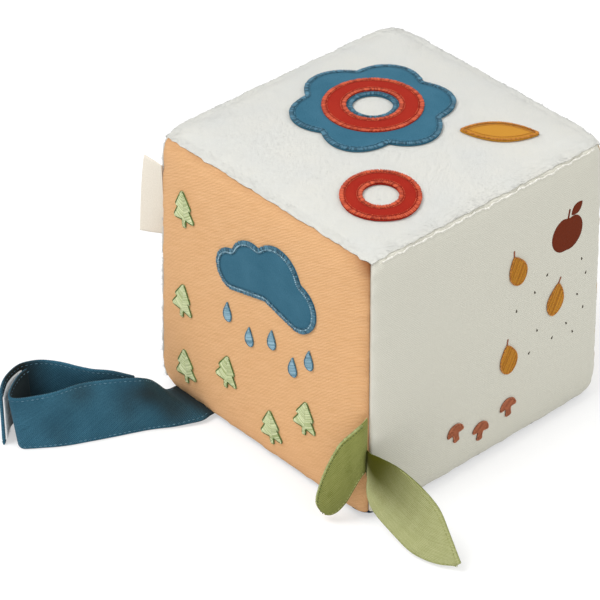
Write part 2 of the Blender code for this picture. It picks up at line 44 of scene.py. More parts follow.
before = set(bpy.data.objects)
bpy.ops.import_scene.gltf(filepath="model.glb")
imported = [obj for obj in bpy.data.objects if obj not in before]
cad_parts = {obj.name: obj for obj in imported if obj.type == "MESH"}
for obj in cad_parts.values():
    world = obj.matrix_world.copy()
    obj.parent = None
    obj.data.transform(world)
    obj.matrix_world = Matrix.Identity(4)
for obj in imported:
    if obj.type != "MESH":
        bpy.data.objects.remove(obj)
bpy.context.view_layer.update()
mm = 0.001
white = (1.0, 1.0, 1.0, 1.0)


def addNode(tree, kind, inputs=None, **settings):
    node = tree.nodes.new(kind)
    for key, value in settings.items():
        setattr(node, key, value)
    for key, value in (inputs or {}).items():
        feed(tree, value, node.inputs[key])
    return node


def feed(tree, value, socket):
    if isinstance(value, bpy.types.NodeSocket):
        tree.links.new(value, socket)
    else:
        socket.default_value = value


def mathNode(tree, operation, *values):
    return addNode(tree, "ShaderNodeMath", dict(enumerate(values)), operation=operation).outputs[0]


def mixTone(tree, factor, first, second):
    inputs = {0: factor, 6: first, 7: second}
    return addNode(tree, "ShaderNodeMix", inputs, data_type="RGBA").outputs[2]


def noiseNode(tree, scale, detail, **more):
    return addNode(tree, "ShaderNodeTexNoise", {"Scale": scale, "Detail": detail, **more}).outputs


def spread(tree, value, **ends):
    # a value carried from one range to another, such as From_Min=0.3 or To_Max=0.9
    inputs = {title.replace("_", " "): end for title, end in ends.items()}
    return addNode(tree, "ShaderNodeMapRange", {"Value": value, **inputs}).outputs[0]


def newFinish(name):
    finish = bpy.data.materials.new(name)
    finish.use_nodes = True
    return finish, finish.node_tree, finish.node_tree.nodes["Principled BSDF"]


def linkUp(name, data):
    made = bpy.data.objects.new(name, data)
    bpy.context.scene.collection.objects.link(made)
    return made


# Camera, lights and floor.

cameraLook = {"azimuth": 47.908, "elevation": 35.756, "distance": 1.3, "lens": 195.65,
              "aimLevel": 0.0626, "aimAcross": -0.03199, "aimUp": -0.01534}
lightLook = {"world": 0.62, "keyLight": (1.75, 28.0, (-0.25, -0.85, 1.55)),
             "fillLight": (0.8, 50.0, (1.0, 0.1, 0.9))}
floorLook = {"size": 3.0, "colour": (0.80, 0.80, 0.80, 1.0), "shade": (0.50, 0.50, 0.50, 1.0),
             "seen": 0.52}


def makeCamera():
    azimuth = math.radians(cameraLook["azimuth"])
    elevation = math.radians(cameraLook["elevation"])
    toward = Vector((math.sin(azimuth) * math.cos(elevation),
                     -math.cos(azimuth) * math.cos(elevation), math.sin(elevation)))
    right = Vector((math.cos(azimuth), math.sin(azimuth), 0.0))
    up = toward.cross(right)
    aim = Vector((0.0, 0.0, cameraLook["aimLevel"]))
    aim += right * cameraLook["aimAcross"] + up * cameraLook["aimUp"]
    data = bpy.data.cameras.new("photoCamera")
    data.lens = cameraLook["lens"]
    data.sensor_width = 36.0
    data.clip_start = 0.05
    camera = linkUp("photoCamera", data)
    camera.matrix_world = Matrix.Translation(aim + toward * cameraLook["distance"]) \
        @ Matrix((right, up, toward)).transposed().to_4x4()
    bpy.context.scene.camera = camera


def makeLights():
    for name in ("keyLight", "fillLight"):
        data = bpy.data.lights.new(name, "SUN")
        data.energy, angle, way = lightLook[name]
        data.angle = math.radians(angle)
        linkUp(name, data).rotation_euler = Vector(way).to_track_quat("Z", "Y").to_euler()
    world = bpy.data.worlds.new("studio")
    world.use_nodes = True
    tree = world.node_tree
    tree.nodes.clear()
    path = addNode(tree, "ShaderNodeLightPath")
    strength = addNode(tree, "ShaderNodeMix", {0: path.outputs["Is Camera Ray"],
                                               2: lightLook["world"], 3: 1.0})
    sky = addNode(tree, "ShaderNodeBackground", {"Strength": strength.outputs[0], "Color": white})
    addNode(tree, "ShaderNodeOutputWorld", {"Surface": sky.outputs[0]})
    bpy.context.scene.world = world
    bpy.context.scene.view_settings.view_transform = "Standard"


def makeFloor():
    finish, tree, shader = newFinish("paleFloor")
    seen = addNode(tree, "ShaderNodeLightPath").outputs["Is Camera Ray"]
    feed(tree, mixTone(tree, seen, floorLook["colour"], floorLook["shade"]),
         shader.inputs["Base Color"])
    feed(tree, spread(tree, noiseNode(tree, 40.0, 3.0)["Fac"], To_Min=0.85, To_Max=0.95),
         shader.inputs["Roughness"])
    shader.inputs["Specular IOR Level"].default_value = 0.0
    glow = addNode(tree, "ShaderNodeEmission", {
        "Strength": mathNode(tree, "MULTIPLY", seen, floorLook["seen"]), "Color": white})
    both = addNode(tree, "ShaderNodeAddShader", {0: shader.outputs[0], 1: glow.outputs[0]})
    feed(tree, both.outputs[0], tree.nodes["Material Output"].inputs["Surface"])
    half = floorLook["size"] / 2
    mesh = bpy.data.meshes.new("floor")
    mesh.from_pydata([(-half, -half, 0), (half, -half, 0), (half, half, 0), (-half, half, 0)],
                     [], [(0, 1, 2, 3)])
    mesh.materials.append(finish)
    linkUp("floor", mesh)


makeCamera()
makeLights()
makeFloor()
print("camera, lights and floor")

# Finishes: shader groups for weave, wear and thread, then one material for each cloth


def newGroup(name, inputs, outputs):
    # a shader group that takes a Vector and some numbers, and gives numbers
    group = bpy.data.node_groups.new(name, "ShaderNodeTree")
    group.interface.new_socket("Vector", in_out="INPUT", socket_type="NodeSocketVector")
    for title, value in inputs.items():
        socket = group.interface.new_socket(title, in_out="INPUT", socket_type="NodeSocketFloat")
        socket.default_value = value
    for title in outputs:
        group.interface.new_socket(title, in_out="OUTPUT", socket_type="NodeSocketFloat")
    return (group, addNode(group, "NodeGroupInput").outputs,
            addNode(group, "NodeGroupOutput").inputs)


def makeWeaveGroup():
    # crossing threads: a basket of warp and weft, or slanting ribs as Rib goes to 1
    group, given, made = newGroup(
        "clothWeave", {"Across": 2000.0, "Up": 2000.0, "Slant": 0.0, "Rib": 0.0, "Waver": 0.3,
                       "Slub": 0.3}, ("Height", "Tone"))

    def off(noise, amount, start):
        level = mathNode(group, "SUBTRACT", noise["Fac"], 0.5)
        return mathNode(group, "MULTIPLY_ADD", level, amount, start)

    split = addNode(group, "ShaderNodeSeparateXYZ", {0: given["Vector"]}).outputs
    drift = off(noiseNode(group, 260.0, 2.0, Vector=given["Vector"]),
                mathNode(group, "MULTIPLY", given["Waver"], 12.0), 0.0)
    u = mathNode(group, "MULTIPLY_ADD", split[0], given["Across"], drift)
    v = mathNode(group, "MULTIPLY_ADD", split[1], given["Up"], drift)
    lean = mathNode(group, "MULTIPLY_ADD", v, given["Slant"], u)
    warp, weft = (mathNode(group, "SINE", mathNode(group, "MULTIPLY", run, 2 * math.pi))
                  for run in (lean, v))
    basket = mathNode(group, "MULTIPLY", warp, weft)
    both = addNode(group, "ShaderNodeMix", {0: given["Rib"], 2: basket, 3: warp}).outputs[0]
    height = mathNode(group, "MULTIPLY_ADD", both, 0.5, 0.5)
    tone = off(noiseNode(group, 1700.0, 2.0, Vector=given["Vector"]), 0.9, height)
    run = addNode(group, "ShaderNodeCombineXYZ", {
        0: mathNode(group, "MULTIPLY", split[0], 110.0),
        1: mathNode(group, "MULTIPLY", lean, 0.8)}).outputs[0]
    tone = off(noiseNode(group, 1.0, 1.0, Vector=run), given["Slub"], tone)
    feed(group, height, made["Height"])
    feed(group, tone, made["Tone"])
    return group


def makeWearGroup():
    # broad soft patches and small creases, from the piece's own place in metres
    group, given, made = newGroup("clothWear", {"Patch": 28.0, "Crease": 150.0},
                                  ("Patches", "Creases"))
    broad = noiseNode(group, given["Patch"], 3.0, Vector=given["Vector"])
    fine = noiseNode(group, given["Crease"], 5.0, Vector=given["Vector"], Roughness=0.6,
                     Distortion=0.4)
    for source, title in ((broad, "Patches"), (fine, "Creases")):
        feed(group, spread(group, source["Fac"], From_Min=0.3, From_Max=0.7), made[title])
    return group


def makeThreadGroup():
    # a thread's own shade, stored when its stitches were laid, and its twist along the piece
    group, given, made = newGroup("threadTwist", {"Twist": 2600.0}, ("Shade", "Height"))
    shade = addNode(group, "ShaderNodeAttribute", attribute_name="shade").outputs["Fac"]
    twist = noiseNode(group, given["Twist"], 2.0, Vector=given["Vector"])["Fac"]
    own = mathNode(group, "MULTIPLY_ADD", shade, 0.75, -0.12)
    feed(group, mathNode(group, "MULTIPLY_ADD", twist, 0.5, own), made["Shade"])
    feed(group, twist, made["Height"])
    return group


weaveGroup = makeWeaveGroup()
wearGroup = makeWearGroup()
threadGroup = makeThreadGroup()


def colour(shade):
    # an sRGB colour of 0 to 255 as the linear one that the shader takes
    parts = [value / 255 for value in shade]
    return (*(part / 12.92 if part <= 0.04045 else ((part + 0.055) / 1.055) ** 2.4
              for part in parts), 1.0)


def useGroup(tree, group, vector, **values):
    node = addNode(tree, "ShaderNodeGroup", node_tree=group)
    feed(tree, vector, node.inputs["Vector"])
    for title, value in values.items():
        node.inputs[title].default_value = value
    return node.outputs


def finishOff(tree, shader, look, tone, grain, bump, play, gloss, sheen):
    feed(tree, tone, shader.inputs["Base Color"])
    feed(tree, spread(tree, grain, To_Min=look["rough"] - play, To_Max=look["rough"] + play),
         shader.inputs["Roughness"])
    feed(tree, bump, shader.inputs["Normal"])
    shader.inputs["Specular IOR Level"].default_value = look.get("gloss", gloss)
    shader.inputs["Sheen Weight"].default_value = look.get("sheen", sheen)


def bumpNode(tree, height, distance, strength):
    return addNode(tree, "ShaderNodeBump", {"Height": height, "Distance": distance,
                                            "Strength": strength}).outputs[0]


def clothFinish(name, look):
    finish, tree, shader = newFinish(name)
    place = addNode(tree, "ShaderNodeTexCoord").outputs
    weave = useGroup(tree, weaveGroup, place["UV"], **{
        title: look.get(title.lower(), 0.0)
        for title in ("Across", "Up", "Slant", "Rib", "Waver", "Slub")})
    wear = useGroup(tree, wearGroup, place["Object"], Patch=look.get("patch", 28.0),
                    Crease=look.get("crease", 150.0))
    tone = mixTone(tree, weave["Tone"], colour(look["dark"]), colour(look["light"]))
    patches = mathNode(tree, "MULTIPLY", wear["Patches"], look.get("patches", 0.35))
    tone = mixTone(tree, patches, tone, colour(look["worn"]))
    # the seamShade attribute carries painted shade (on the cream, painted light), mixed in as the
    # look's edge tone
    if "edge" in look:  # shade kept on the mesh where cloth is drawn into its seam
        edge = addNode(tree, "ShaderNodeAttribute", attribute_name="seamShade").outputs["Fac"]
        amount = mathNode(tree, "MULTIPLY", edge, look.get("edges", 0.6))
        tone = mixTone(tree, amount, tone, colour(look["edge"]))
    height = mathNode(tree, "MULTIPLY_ADD", wear["Creases"], look.get("creases", 0.5),
                      weave["Height"])
    bump = bumpNode(tree, height, look.get("depth", 0.0001), look.get("bump", 0.6))
    finishOff(tree, shader, look, tone, wear["Creases"], bump, 0.06, 0.06, 0.06)
    shader.inputs["Sheen Roughness"].default_value = 0.5
    return finish


def threadFinish(name, look):
    finish, tree, shader = newFinish(name)
    place = addNode(tree, "ShaderNodeTexCoord").outputs
    twist = useGroup(tree, threadGroup, place["Object"], Twist=look.get("twist", 2600.0))
    tone = mixTone(tree, twist["Shade"], colour(look["dark"]), colour(look["light"]))
    normal = bumpNode(tree, twist["Height"], 0.00008, 0.5)
    if "soft" in look:  # pile catches the light much as the cloth under it does
        lie = addNode(tree, "ShaderNodeAttribute", attribute_name="lie")
        lain = addNode(tree, "ShaderNodeVectorTransform", {0: lie.outputs["Vector"]},
                       vector_type="NORMAL", convert_from="OBJECT", convert_to="WORLD")
        blend = addNode(tree, "ShaderNodeMix", {0: look["soft"], 4: normal, 5: lain.outputs[0]},
                        data_type="VECTOR")
        normal = addNode(tree, "ShaderNodeVectorMath", {0: blend.outputs[1]},
                         operation="NORMALIZE").outputs[0]
    finishOff(tree, shader, look, tone, twist["Height"], normal, 0.08, 0.25, 0.05)
    return finish


def woven(dark, light, worn, across, up, rough, **more):
    # three tones, threads to the metre across and up, and how rough it is
    return dict(dark=dark, light=light, worn=worn, across=across, up=up, rough=rough, **more)


linen = dict(slant=1.0, rib=0.8, waver=0.05, slub=0.7, depth=0.00014, crease=500.0, creases=1.0,
             patches=0.5, patch=110.0)
felt = dict(rib=0.1, waver=0.3, bump=0.4, patch=90.0, crease=900.0)
ink = dict(waver=0.12, bump=0.4, patches=0.3, sheen=0.0)
# each edge colour below is the tone of the painted shade that seamShade lays on the cloth (lighter
# on the cream, as painted light); edges is its strength
clothLooks = {
    "peachTwill": woven((209, 156, 104), (240, 194, 146), (222, 170, 118), -560.0, 1560.0, 0.86,
                        edge=(150, 98, 60), slant=1.0, rib=1.0, waver=0.04, slub=0.9,
                        depth=0.00012, bump=0.7, crease=60.0, patches=0.3, edges=0.5),
    "creamSateen": woven((192, 191, 177), (219, 217, 205), (207, 204, 190), 1080.0, 1080.0, 0.74,
                         edge=(228, 226, 216), waver=0.1, slub=0.1, bump=0.55, patches=0.3,
                         edges=0.5),
    "oatCotton": woven((192, 172, 138), (220, 204, 174), (206, 188, 156), 1500.0, 1500.0, 0.86,
                       edge=(150, 130, 98), rib=0.2, waver=0.06, bump=0.65),
    "navyCotton": woven((28, 44, 62), (52, 72, 92), (40, 58, 78), 1500.0, 1500.0, 0.85,
                        edge=(16, 26, 40), rib=0.3, waver=0.06),
    "plushBase": woven((202, 203, 199), (214, 215, 211), (220, 217, 206), 1700.0, 1700.0, 0.94,
                       edge=(206, 203, 190), waver=0.2, bump=0.3, creases=0.1, patches=0.5,
                       patch=50.0, edges=0.2, sheen=0.3, gloss=0.1),
    "blueSuede": woven((36, 84, 106), (62, 112, 134), (74, 122, 144), 1700.0, 1700.0, 0.84,
                       creases=1.2, sheen=0.04, **felt),
    "redFelt": woven((138, 26, 18), (170, 44, 30), (178, 54, 34), 1700.0, 1700.0, 0.84,
                     patches=0.3, creases=1.0, sheen=0.03, **felt),
    "mustardTwill": woven((176, 118, 34), (208, 152, 58), (194, 136, 46), 1600.0, 1600.0, 0.82,
                          slant=0.5, rib=0.8, waver=0.05),
    "oliveLinen": woven((98, 103, 42), (150, 154, 92), (135, 139, 77), 120.0, 1500.0, 0.84,
                        edge=(78, 84, 22), edges=0.75, sheen=0.03, **linen),
    "paleLinen": woven((142, 145, 88), (196, 198, 150), (174, 177, 124), 160.0, 1500.0, 0.84,
                       edge=(62, 62, 0), edges=0.97, sheen=0.02, **linen),
    "denimTwill": woven((28, 68, 88), (74, 127, 150), (34, 70, 88), 1100.0, 1400.0, 0.82,
                        edge=(36, 34, 26), slant=1.0, rib=0.8, waver=0.03, slub=0.5,
                        depth=0.00014, bump=0.7, patches=0.6, patch=50.0, edges=0.92, sheen=0.03),
    "wovenTag": woven((222, 213, 197), (243, 236, 223), (232, 224, 209), 1900.0, 2600.0, 0.72,
                      rib=0.2, waver=0.15, patches=0.3),
    "whiteTape": woven((224, 226, 227), (244, 245, 245), (234, 236, 237), 1500.0, 1500.0, 0.9,
                       rib=0.4, waver=0.1, bump=0.8, patches=0.4),
    "wadding": woven((214, 214, 210), (236, 236, 232), (226, 226, 222), 500.0, 500.0, 0.95,
                     waver=2.0, bump=0.8),
    "maroonPrint": woven((96, 38, 20), (116, 50, 28), (108, 46, 26), 2200.0, 2200.0, 0.78, **ink),
    "pipPrint": woven((52, 44, 34), (74, 64, 50), (64, 54, 42), 2200.0, 2200.0, 0.8, **ink)}


def yarn(dark, light, rough, **more):
    return dict(dark=dark, light=light, rough=rough, **more)


threadLooks = {
    "blueThread": yarn((16, 46, 62), (92, 144, 168), 0.5),
    "skyThread": yarn((84, 128, 148), (164, 198, 212), 0.45),
    "redThread": yarn((140, 30, 16), (224, 104, 66), 0.5),
    "amberThread": yarn((150, 84, 22), (206, 140, 50), 0.5),
    "goldThread": yarn((158, 96, 14), (208, 148, 44), 0.5),
    "brownThread": yarn((134, 72, 46), (188, 114, 78), 0.6),
    "greenThread": yarn((148, 164, 98), (230, 235, 196), 0.42),
    "mossThread": yarn((44, 72, 22), (98, 126, 56), 0.5),
    "rimThread": yarn((128, 138, 80), (172, 180, 124), 0.55),
    "duskThread": yarn((56, 68, 20), (98, 112, 48), 0.6),
    "leafThread": yarn((128, 132, 72), (164, 168, 108), 0.6),
    "denimThread": yarn((58, 100, 122), (106, 148, 167), 0.5),
    "creamThread": yarn((206, 204, 193), (240, 238, 230), 0.55),
    "plushPile": yarn((206, 207, 203), (214, 215, 211), 0.85, gloss=0.1, sheen=0.2, twist=60.0,
                        soft=1.0),
    "tapeFuzz": yarn((222, 225, 227), (245, 246, 246), 0.8, gloss=0.2)}
finishes = {name: clothFinish(name, look) for name, look in clothLooks.items()}
finishes.update({name: threadFinish(name, look) for name, look in threadLooks.items()})
print("finishes made:", len(finishes))

# Geometry node trees: rows of stitches, threads that fill a shape, and pile


def newTree(name, inputs):
    tree = bpy.data.node_groups.new(name, "GeometryNodeTree")
    tree.interface.new_socket("Geometry", in_out="INPUT", socket_type="NodeSocketGeometry")
    for title, kind in inputs:
        tree.interface.new_socket(title, in_out="INPUT", socket_type="NodeSocket" + kind)
    tree.interface.new_socket("Geometry", in_out="OUTPUT", socket_type="NodeSocketGeometry")
    return tree, addNode(tree, "NodeGroupInput").outputs, addNode(tree, "NodeGroupOutput")


def closeTree(tree, geometry, given, made):
    real = addNode(tree, "GeometryNodeRealizeInstances", {"Geometry": geometry})
    smooth = addNode(tree, "GeometryNodeSetShadeSmooth", {"Geometry": real.outputs[0]})
    dressed = addNode(tree, "GeometryNodeSetMaterial", {"Geometry": smooth.outputs[0],
                                                        "Material": given["Finish"]})
    feed(tree, dressed.outputs[0], made.inputs[0])


def storeShade(tree, geometry, domain, seed):
    shade = addNode(tree, "FunctionNodeRandomValue", {"Seed": seed}, data_type="FLOAT")
    return addNode(tree, "GeometryNodeStoreNamedAttribute",
                   {"Geometry": geometry, "Name": "shade", "Value": shade.outputs[1]},
                   data_type="FLOAT", domain=domain).outputs[0]


def vectorNode(tree, operation, *values):
    socket = "Scale" if operation == "SCALE" else 1
    inputs = {0: values[0], socket: values[1]} if len(values) > 1 else {0: values[0]}
    return addNode(tree, "ShaderNodeVectorMath", inputs, operation=operation).outputs[0]


def named(tree, name, kind):
    return addNode(tree, "GeometryNodeInputNamedAttribute", {"Name": name},
                   data_type=kind).outputs[0]


def anyNumber(tree, seed, low, high):
    return addNode(tree, "FunctionNodeRandomValue", {2: low, 3: high, "Seed": seed},
                   data_type="FLOAT").outputs[1]


def anyWay(tree, seed):
    return addNode(tree, "FunctionNodeRandomValue", {
        0: (-1.0, -1.0, -1.0), 1: (1.0, 1.0, 1.0), "Seed": seed},
                   data_type="FLOAT_VECTOR").outputs[0]


def evenPath(tree, mesh, mode, **more):
    path = addNode(tree, "GeometryNodeMeshToCurve", {"Mesh": mesh}).outputs[0]
    return addNode(tree, "GeometryNodeResampleCurve", {"Curve": path, **more},
                   mode=mode).outputs[0]


def makeStitchRow():
    # one small spindle of thread at each pitch along a path, square to it or along it
    tree, given, made = newTree("stitchRow", [
        ("Pitch", "Float"), ("Along", "Float"), ("Across", "Float"), ("Height", "Float"),
        ("Lift", "Float"), ("Jitter", "Float"), ("Seed", "Int"), ("Finish", "Material")])
    up = named(tree, "up", "FLOAT_VECTOR")
    even = evenPath(tree, given["Geometry"], "LENGTH", Length=given["Pitch"])
    raised = addNode(tree, "GeometryNodeSetPosition", {
        "Geometry": even, "Offset": vectorNode(tree, "SCALE", up, given["Lift"])})
    tangent = addNode(tree, "GeometryNodeInputTangent").outputs[0]
    stray = vectorNode(tree, "SCALE", anyWay(tree, given["Seed"]), given["Jitter"])
    way = vectorNode(tree, "ADD", tangent, stray)
    turn = addNode(tree, "FunctionNodeAlignRotationToVector", {"Vector": up}, axis="Z")
    turn = addNode(tree, "FunctionNodeAlignRotationToVector", {
        "Rotation": turn.outputs[0], "Vector": way}, axis="X", pivot_axis="Z")
    size = addNode(tree, "ShaderNodeCombineXYZ", {0: given["Along"], 1: given["Across"],
                                                  2: given["Height"]})
    vary = anyNumber(tree, given["Seed"], 0.88, 1.12)
    ball = addNode(tree, "GeometryNodeMeshUVSphere", {"Segments": 6, "Rings": 5, "Radius": 0.5})
    lain = addNode(tree, "GeometryNodeTransform", {"Geometry": ball.outputs[0],
                                                   "Rotation": (math.pi / 2, 0.0, 0.0)})
    laid = addNode(tree, "GeometryNodeInstanceOnPoints", {
        "Points": raised.outputs[0], "Instance": lain.outputs[0], "Rotation": turn.outputs[0],
        "Scale": vectorNode(tree, "SCALE", size.outputs[0], vary)})
    closeTree(tree, storeShade(tree, laid.outputs[0], "INSTANCE", given["Seed"]), given, made)
    return tree


def makeThreadFill():
    # a thread on each edge of the guide, bowed up over its middle as satin stitch is
    tree, given, made = newTree("threadFill", [
        ("Thickness", "Float"), ("Bow", "Float"), ("Lift", "Float"), ("Seed", "Int"),
        ("Finish", "Material")])
    up = named(tree, "up", "FLOAT_VECTOR")
    even = evenPath(tree, given["Geometry"], "COUNT", Count=6)
    factor = addNode(tree, "GeometryNodeSplineParameter").outputs["Factor"]
    arch = mathNode(tree, "SINE", mathNode(tree, "MULTIPLY", factor, math.pi))
    rise = mathNode(tree, "MULTIPLY_ADD", arch, given["Bow"], given["Lift"])
    bowed = addNode(tree, "GeometryNodeSetPosition", {
        "Geometry": even, "Offset": vectorNode(tree, "SCALE", up, rise)})
    shaded = storeShade(tree, bowed.outputs[0], "CURVE", given["Seed"])
    ring = addNode(tree, "GeometryNodeCurvePrimitiveCircle", {
        "Resolution": 5, "Radius": mathNode(tree, "MULTIPLY", given["Thickness"], 0.5)})
    spun = addNode(tree, "GeometryNodeCurveToMesh", {"Curve": shaded,
                                                     "Profile Curve": ring.outputs[0],
                                                     "Fill Caps": True})
    closeTree(tree, spun.outputs[0], given, made)
    return tree


def makePile():
    # short leaning fibres over a surface, left out under whatever is sewn on top of it
    tree, given, made = newTree("pile", [
        ("Density", "Float"), ("Length", "Float"), ("Width", "Float"), ("Lean", "Float"),
        ("Rim", "Float"), ("Comb", "Vector"), ("Cover", "Object"), ("Seed", "Int"),
        ("Finish", "Material")])
    near = named(tree, "seamShade", "FLOAT")
    part = addNode(tree, "ShaderNodeMix", {0: given["Rim"], 2: 1.0, 3: near})
    dense = mathNode(tree, "MULTIPLY", given["Density"], part.outputs[0])
    strewn = addNode(tree, "GeometryNodeDistributePointsOnFaces", {
        "Mesh": given["Geometry"], "Density": dense, "Seed": given["Seed"]})
    patch = noiseNode(tree, 130.0, 2.0)["Color"]
    swirl = vectorNode(tree, "SCALE", vectorNode(tree, "SUBTRACT", patch, (0.5, 0.5, 0.5)), 0.2)
    stray = vectorNode(tree, "SCALE", anyWay(tree, given["Seed"]), given["Lean"])
    way = vectorNode(tree, "ADD", strewn.outputs["Normal"], stray)
    way = vectorNode(tree, "ADD", way, vectorNode(tree, "ADD", given["Comb"], swirl))
    turn = addNode(tree, "FunctionNodeAlignRotationToVector", {"Vector": way}, axis="Z")
    vary = anyNumber(tree, given["Seed"], 0.55, 1.15)
    fibre = addNode(tree, "GeometryNodeMeshCone", {
        "Vertices": 3, "Radius Top": 0.0, "Depth": given["Length"],
        "Radius Bottom": mathNode(tree, "MULTIPLY", given["Width"], 0.5)}, fill_type="NONE")
    cover = addNode(tree, "GeometryNodeObjectInfo", {"Object": given["Cover"]})
    under = addNode(tree, "GeometryNodeRaycast", {
        "Target Geometry": cover.outputs["Geometry"], "Ray Direction": (0.0, 0.0, 1.0),
        "Ray Length": 0.02}).outputs["Is Hit"]
    clear = addNode(tree, "FunctionNodeBooleanMath", {0: under}, operation="NOT").outputs[0]
    lain = addNode(tree, "GeometryNodeStoreNamedAttribute", {
        "Geometry": strewn.outputs["Points"], "Name": "lie", "Value": strewn.outputs["Normal"]},
                   data_type="FLOAT_VECTOR", domain="POINT")
    grown = addNode(tree, "GeometryNodeInstanceOnPoints", {
        "Points": lain.outputs[0], "Instance": fibre.outputs[0], "Selection": clear,
        "Rotation": turn.outputs[0], "Scale": vary})
    closeTree(tree, storeShade(tree, grown.outputs[0], "INSTANCE", given["Seed"]), given, made)
    return tree


stitchRow = makeStitchRow()
threadFill = makeThreadFill()
pile = makePile()


def newMesh(name, spots, faces):
    mesh = bpy.data.meshes.new(name)
    mesh.from_pydata([tuple(spot) for spot in spots], [], faces)
    return mesh


def bake(holder, name):
    # the plain mesh that comes out of an object's modifiers; the object itself goes
    bpy.context.view_layer.update()
    scenery = bpy.context.evaluated_depsgraph_get()
    mesh = bpy.data.meshes.new_from_object(holder.evaluated_get(scenery))
    mesh.name = name
    bpy.data.objects.remove(holder, do_unlink=True)
    return mesh


def giveWall(piece, thickness):
    wall = piece.modifiers.new("cloth", "SOLIDIFY")
    wall.thickness = thickness
    wall.offset = -1.0


def grow(name, guide, tree, values):
    # runs a tree on a guide mesh and keeps the plain mesh that comes out
    holder = linkUp(name + "Guide", guide)
    live = holder.modifiers.new(tree.name, "NODES")
    live.node_group = tree
    sockets = {item.name: item.identifier for item in tree.interface.items_tree
               if item.item_type == "SOCKET" and item.in_out == "INPUT"}
    for title, value in values.items():
        live[sockets[title]] = value
    mesh = bake(holder, name)
    bpy.data.meshes.remove(guide)
    return linkUp(name, mesh)


print("geometry trees made")

# The block: a sewn cube whose cover is blown up against its seams, then cut into six panels

block = {"baseX": 128.4 * mm, "baseY": 131.6 * mm, "topX": 123.2 * mm, "topY": 128.6 * mm,
         "height": 124.7 * mm, "flat": 0.5 * mm, "power": 16, "cells": 40, "sideCrown": 0.3 * mm,
         "topCrown": 1.2 * mm, "pressure": 4.0, "swellSide": 1.3 * mm, "swellTop": 2.0 * mm,
         "curl": 1.1 * mm, "curlWidth": 1.8 * mm, "pucker": 0.32 * mm, "puckerWidth": 5.0 * mm,
         "cloth": 0.8 * mm, "plushSink": 0.9 * mm, "plushCurl": 0.35 * mm,
         "lap": 0.9 * mm, "lapWidth": 3.5 * mm, "dimpleShadow": 1.7, "dimpleShadowWidth": 9.0 * mm,
         "floorClear": 0.0008, "footClear": 0.0003, "lowest": 0.0002, "sinkWidth": 4.0 * mm,
         "shadeWidth": 7.0 * mm, "seamCloth": 2.0 * mm, "lapWander": 0.45}
pressed = {"quality": 6, "tension_stiffness": 25.0, "compression_stiffness": 25.0,
           "shear_stiffness": 12.0, "bending_stiffness": 1.5, "use_pressure": True,
           "uniform_pressure_force": block["pressure"]}
faces = {
    "front": ((0, -1, 0), (1, 0, 0), (0, 0, 1)), "right": ((1, 0, 0), (0, 1, 0), (0, 0, 1)),
    "back": ((0, 1, 0), (-1, 0, 0), (0, 0, 1)), "left": ((-1, 0, 0), (0, -1, 0), (0, 0, 1)),
    "top": ((0, 0, 1), (1, 0, 0), (0, 1, 0)), "bottom": ((0, 0, -1), (1, 0, 0), (0, -1, 0))}


def blockForm(cube):
    # points of the cube from -1 to 1 carried to the block's rounded, settled form
    size = (np.abs(cube) ** block["power"]).sum(1) ** (1 / block["power"])
    x, y, z = (cube / size[:, None]).T
    level = (z + 1) / 2
    halfX = (block["baseX"] + (block["topX"] - block["baseX"]) * level) / 2
    halfY = (block["baseY"] + (block["topY"] - block["baseY"]) * level) / 2
    halfZ = (block["height"] + block["flat"]) / 2
    made = np.column_stack((x * halfX, y * halfY, halfZ - block["flat"] + z * halfZ))
    bare = 1 - cube ** 2
    onFace = np.abs(cube) > 1 - 1e-6
    made[:, 0] += block["sideCrown"] * np.sign(x) * bare[:, 1] * bare[:, 2] * onFace[:, 0]
    made[:, 1] += block["sideCrown"] * np.sign(y) * bare[:, 0] * bare[:, 2] * onFace[:, 1]
    made[:, 2] += block["topCrown"] * bare[:, 0] * bare[:, 1] * (onFace[:, 2] & (z > 0))
    made[:, 2] = np.maximum(made[:, 2], block["lowest"])
    return made


def edgeSpacing(share):
    return share * (1.5 - 0.5 * share ** 2)


def coverGrid():
    # the cover's corners as a welded cube grid, with each face's own table of corner numbers
    count = block["cells"]
    steps = np.linspace(-1, 1, count + 1)
    table, cube, grids, quads = {}, [], {}, []
    for face, axes in faces.items():
        normal, across, up = (np.array(axis, float) for axis in axes)
        grid = np.zeros((count + 1, count + 1), int)
        for j, v in enumerate(steps):
            for i, u in enumerate(steps):
                spot = normal + across * u + up * v
                key = tuple(np.round(spot * 1000).astype(int))
                if key not in table:
                    table[key] = len(cube)
                    cube.append(spot)
                grid[j, i] = table[key]
        grids[face] = grid
        quads += [(grid[j, i], grid[j, i + 1], grid[j + 1, i + 1], grid[j + 1, i])
                  for j in range(count) for i in range(count)]
    return edgeSpacing(np.array(cube)), grids, quads


def giveUv(mesh, flats):
    # UVs in metres from each corner's own flat place
    layer = mesh.uv_layers.new(name="UVMap") if not mesh.uv_layers else mesh.uv_layers[0]
    corners = np.zeros(len(mesh.loops), int)
    mesh.loops.foreach_get("vertex_index", corners)
    layer.data.foreach_set("uv", np.asarray(flats)[corners].ravel())


def giveNumbers(mesh, title, values):
    mesh.attributes.new(title, "FLOAT", "POINT").data.foreach_set("value", values)


def readBack(items, key, width):
    values = np.zeros(len(items) * width)
    items.foreach_get(key, values)
    return values.reshape(-1, width)


def blowUp(cover, seam):
    # cloth held along its seams and pressed out by the wadding
    cloth = cover.modifiers.new("cover", "CLOTH")
    held = cover.vertex_groups.new(name="seam")
    held.add([int(index) for index in np.nonzero(seam)[0]], 1.0, "REPLACE")
    settings = cloth.settings
    settings.vertex_group_mass = "seam"
    for key, value in pressed.items():
        setattr(settings, key, value)
    settings.effector_weights.gravity = 0.0
    for step in range(1, 21):
        bpy.context.scene.frame_set(step)
    scenery = bpy.context.evaluated_depsgraph_get()
    blown = readBack(cover.evaluated_get(scenery).data.vertices, "co", 3)
    cover.modifiers.remove(cloth)
    bpy.context.scene.frame_set(1)
    return blown


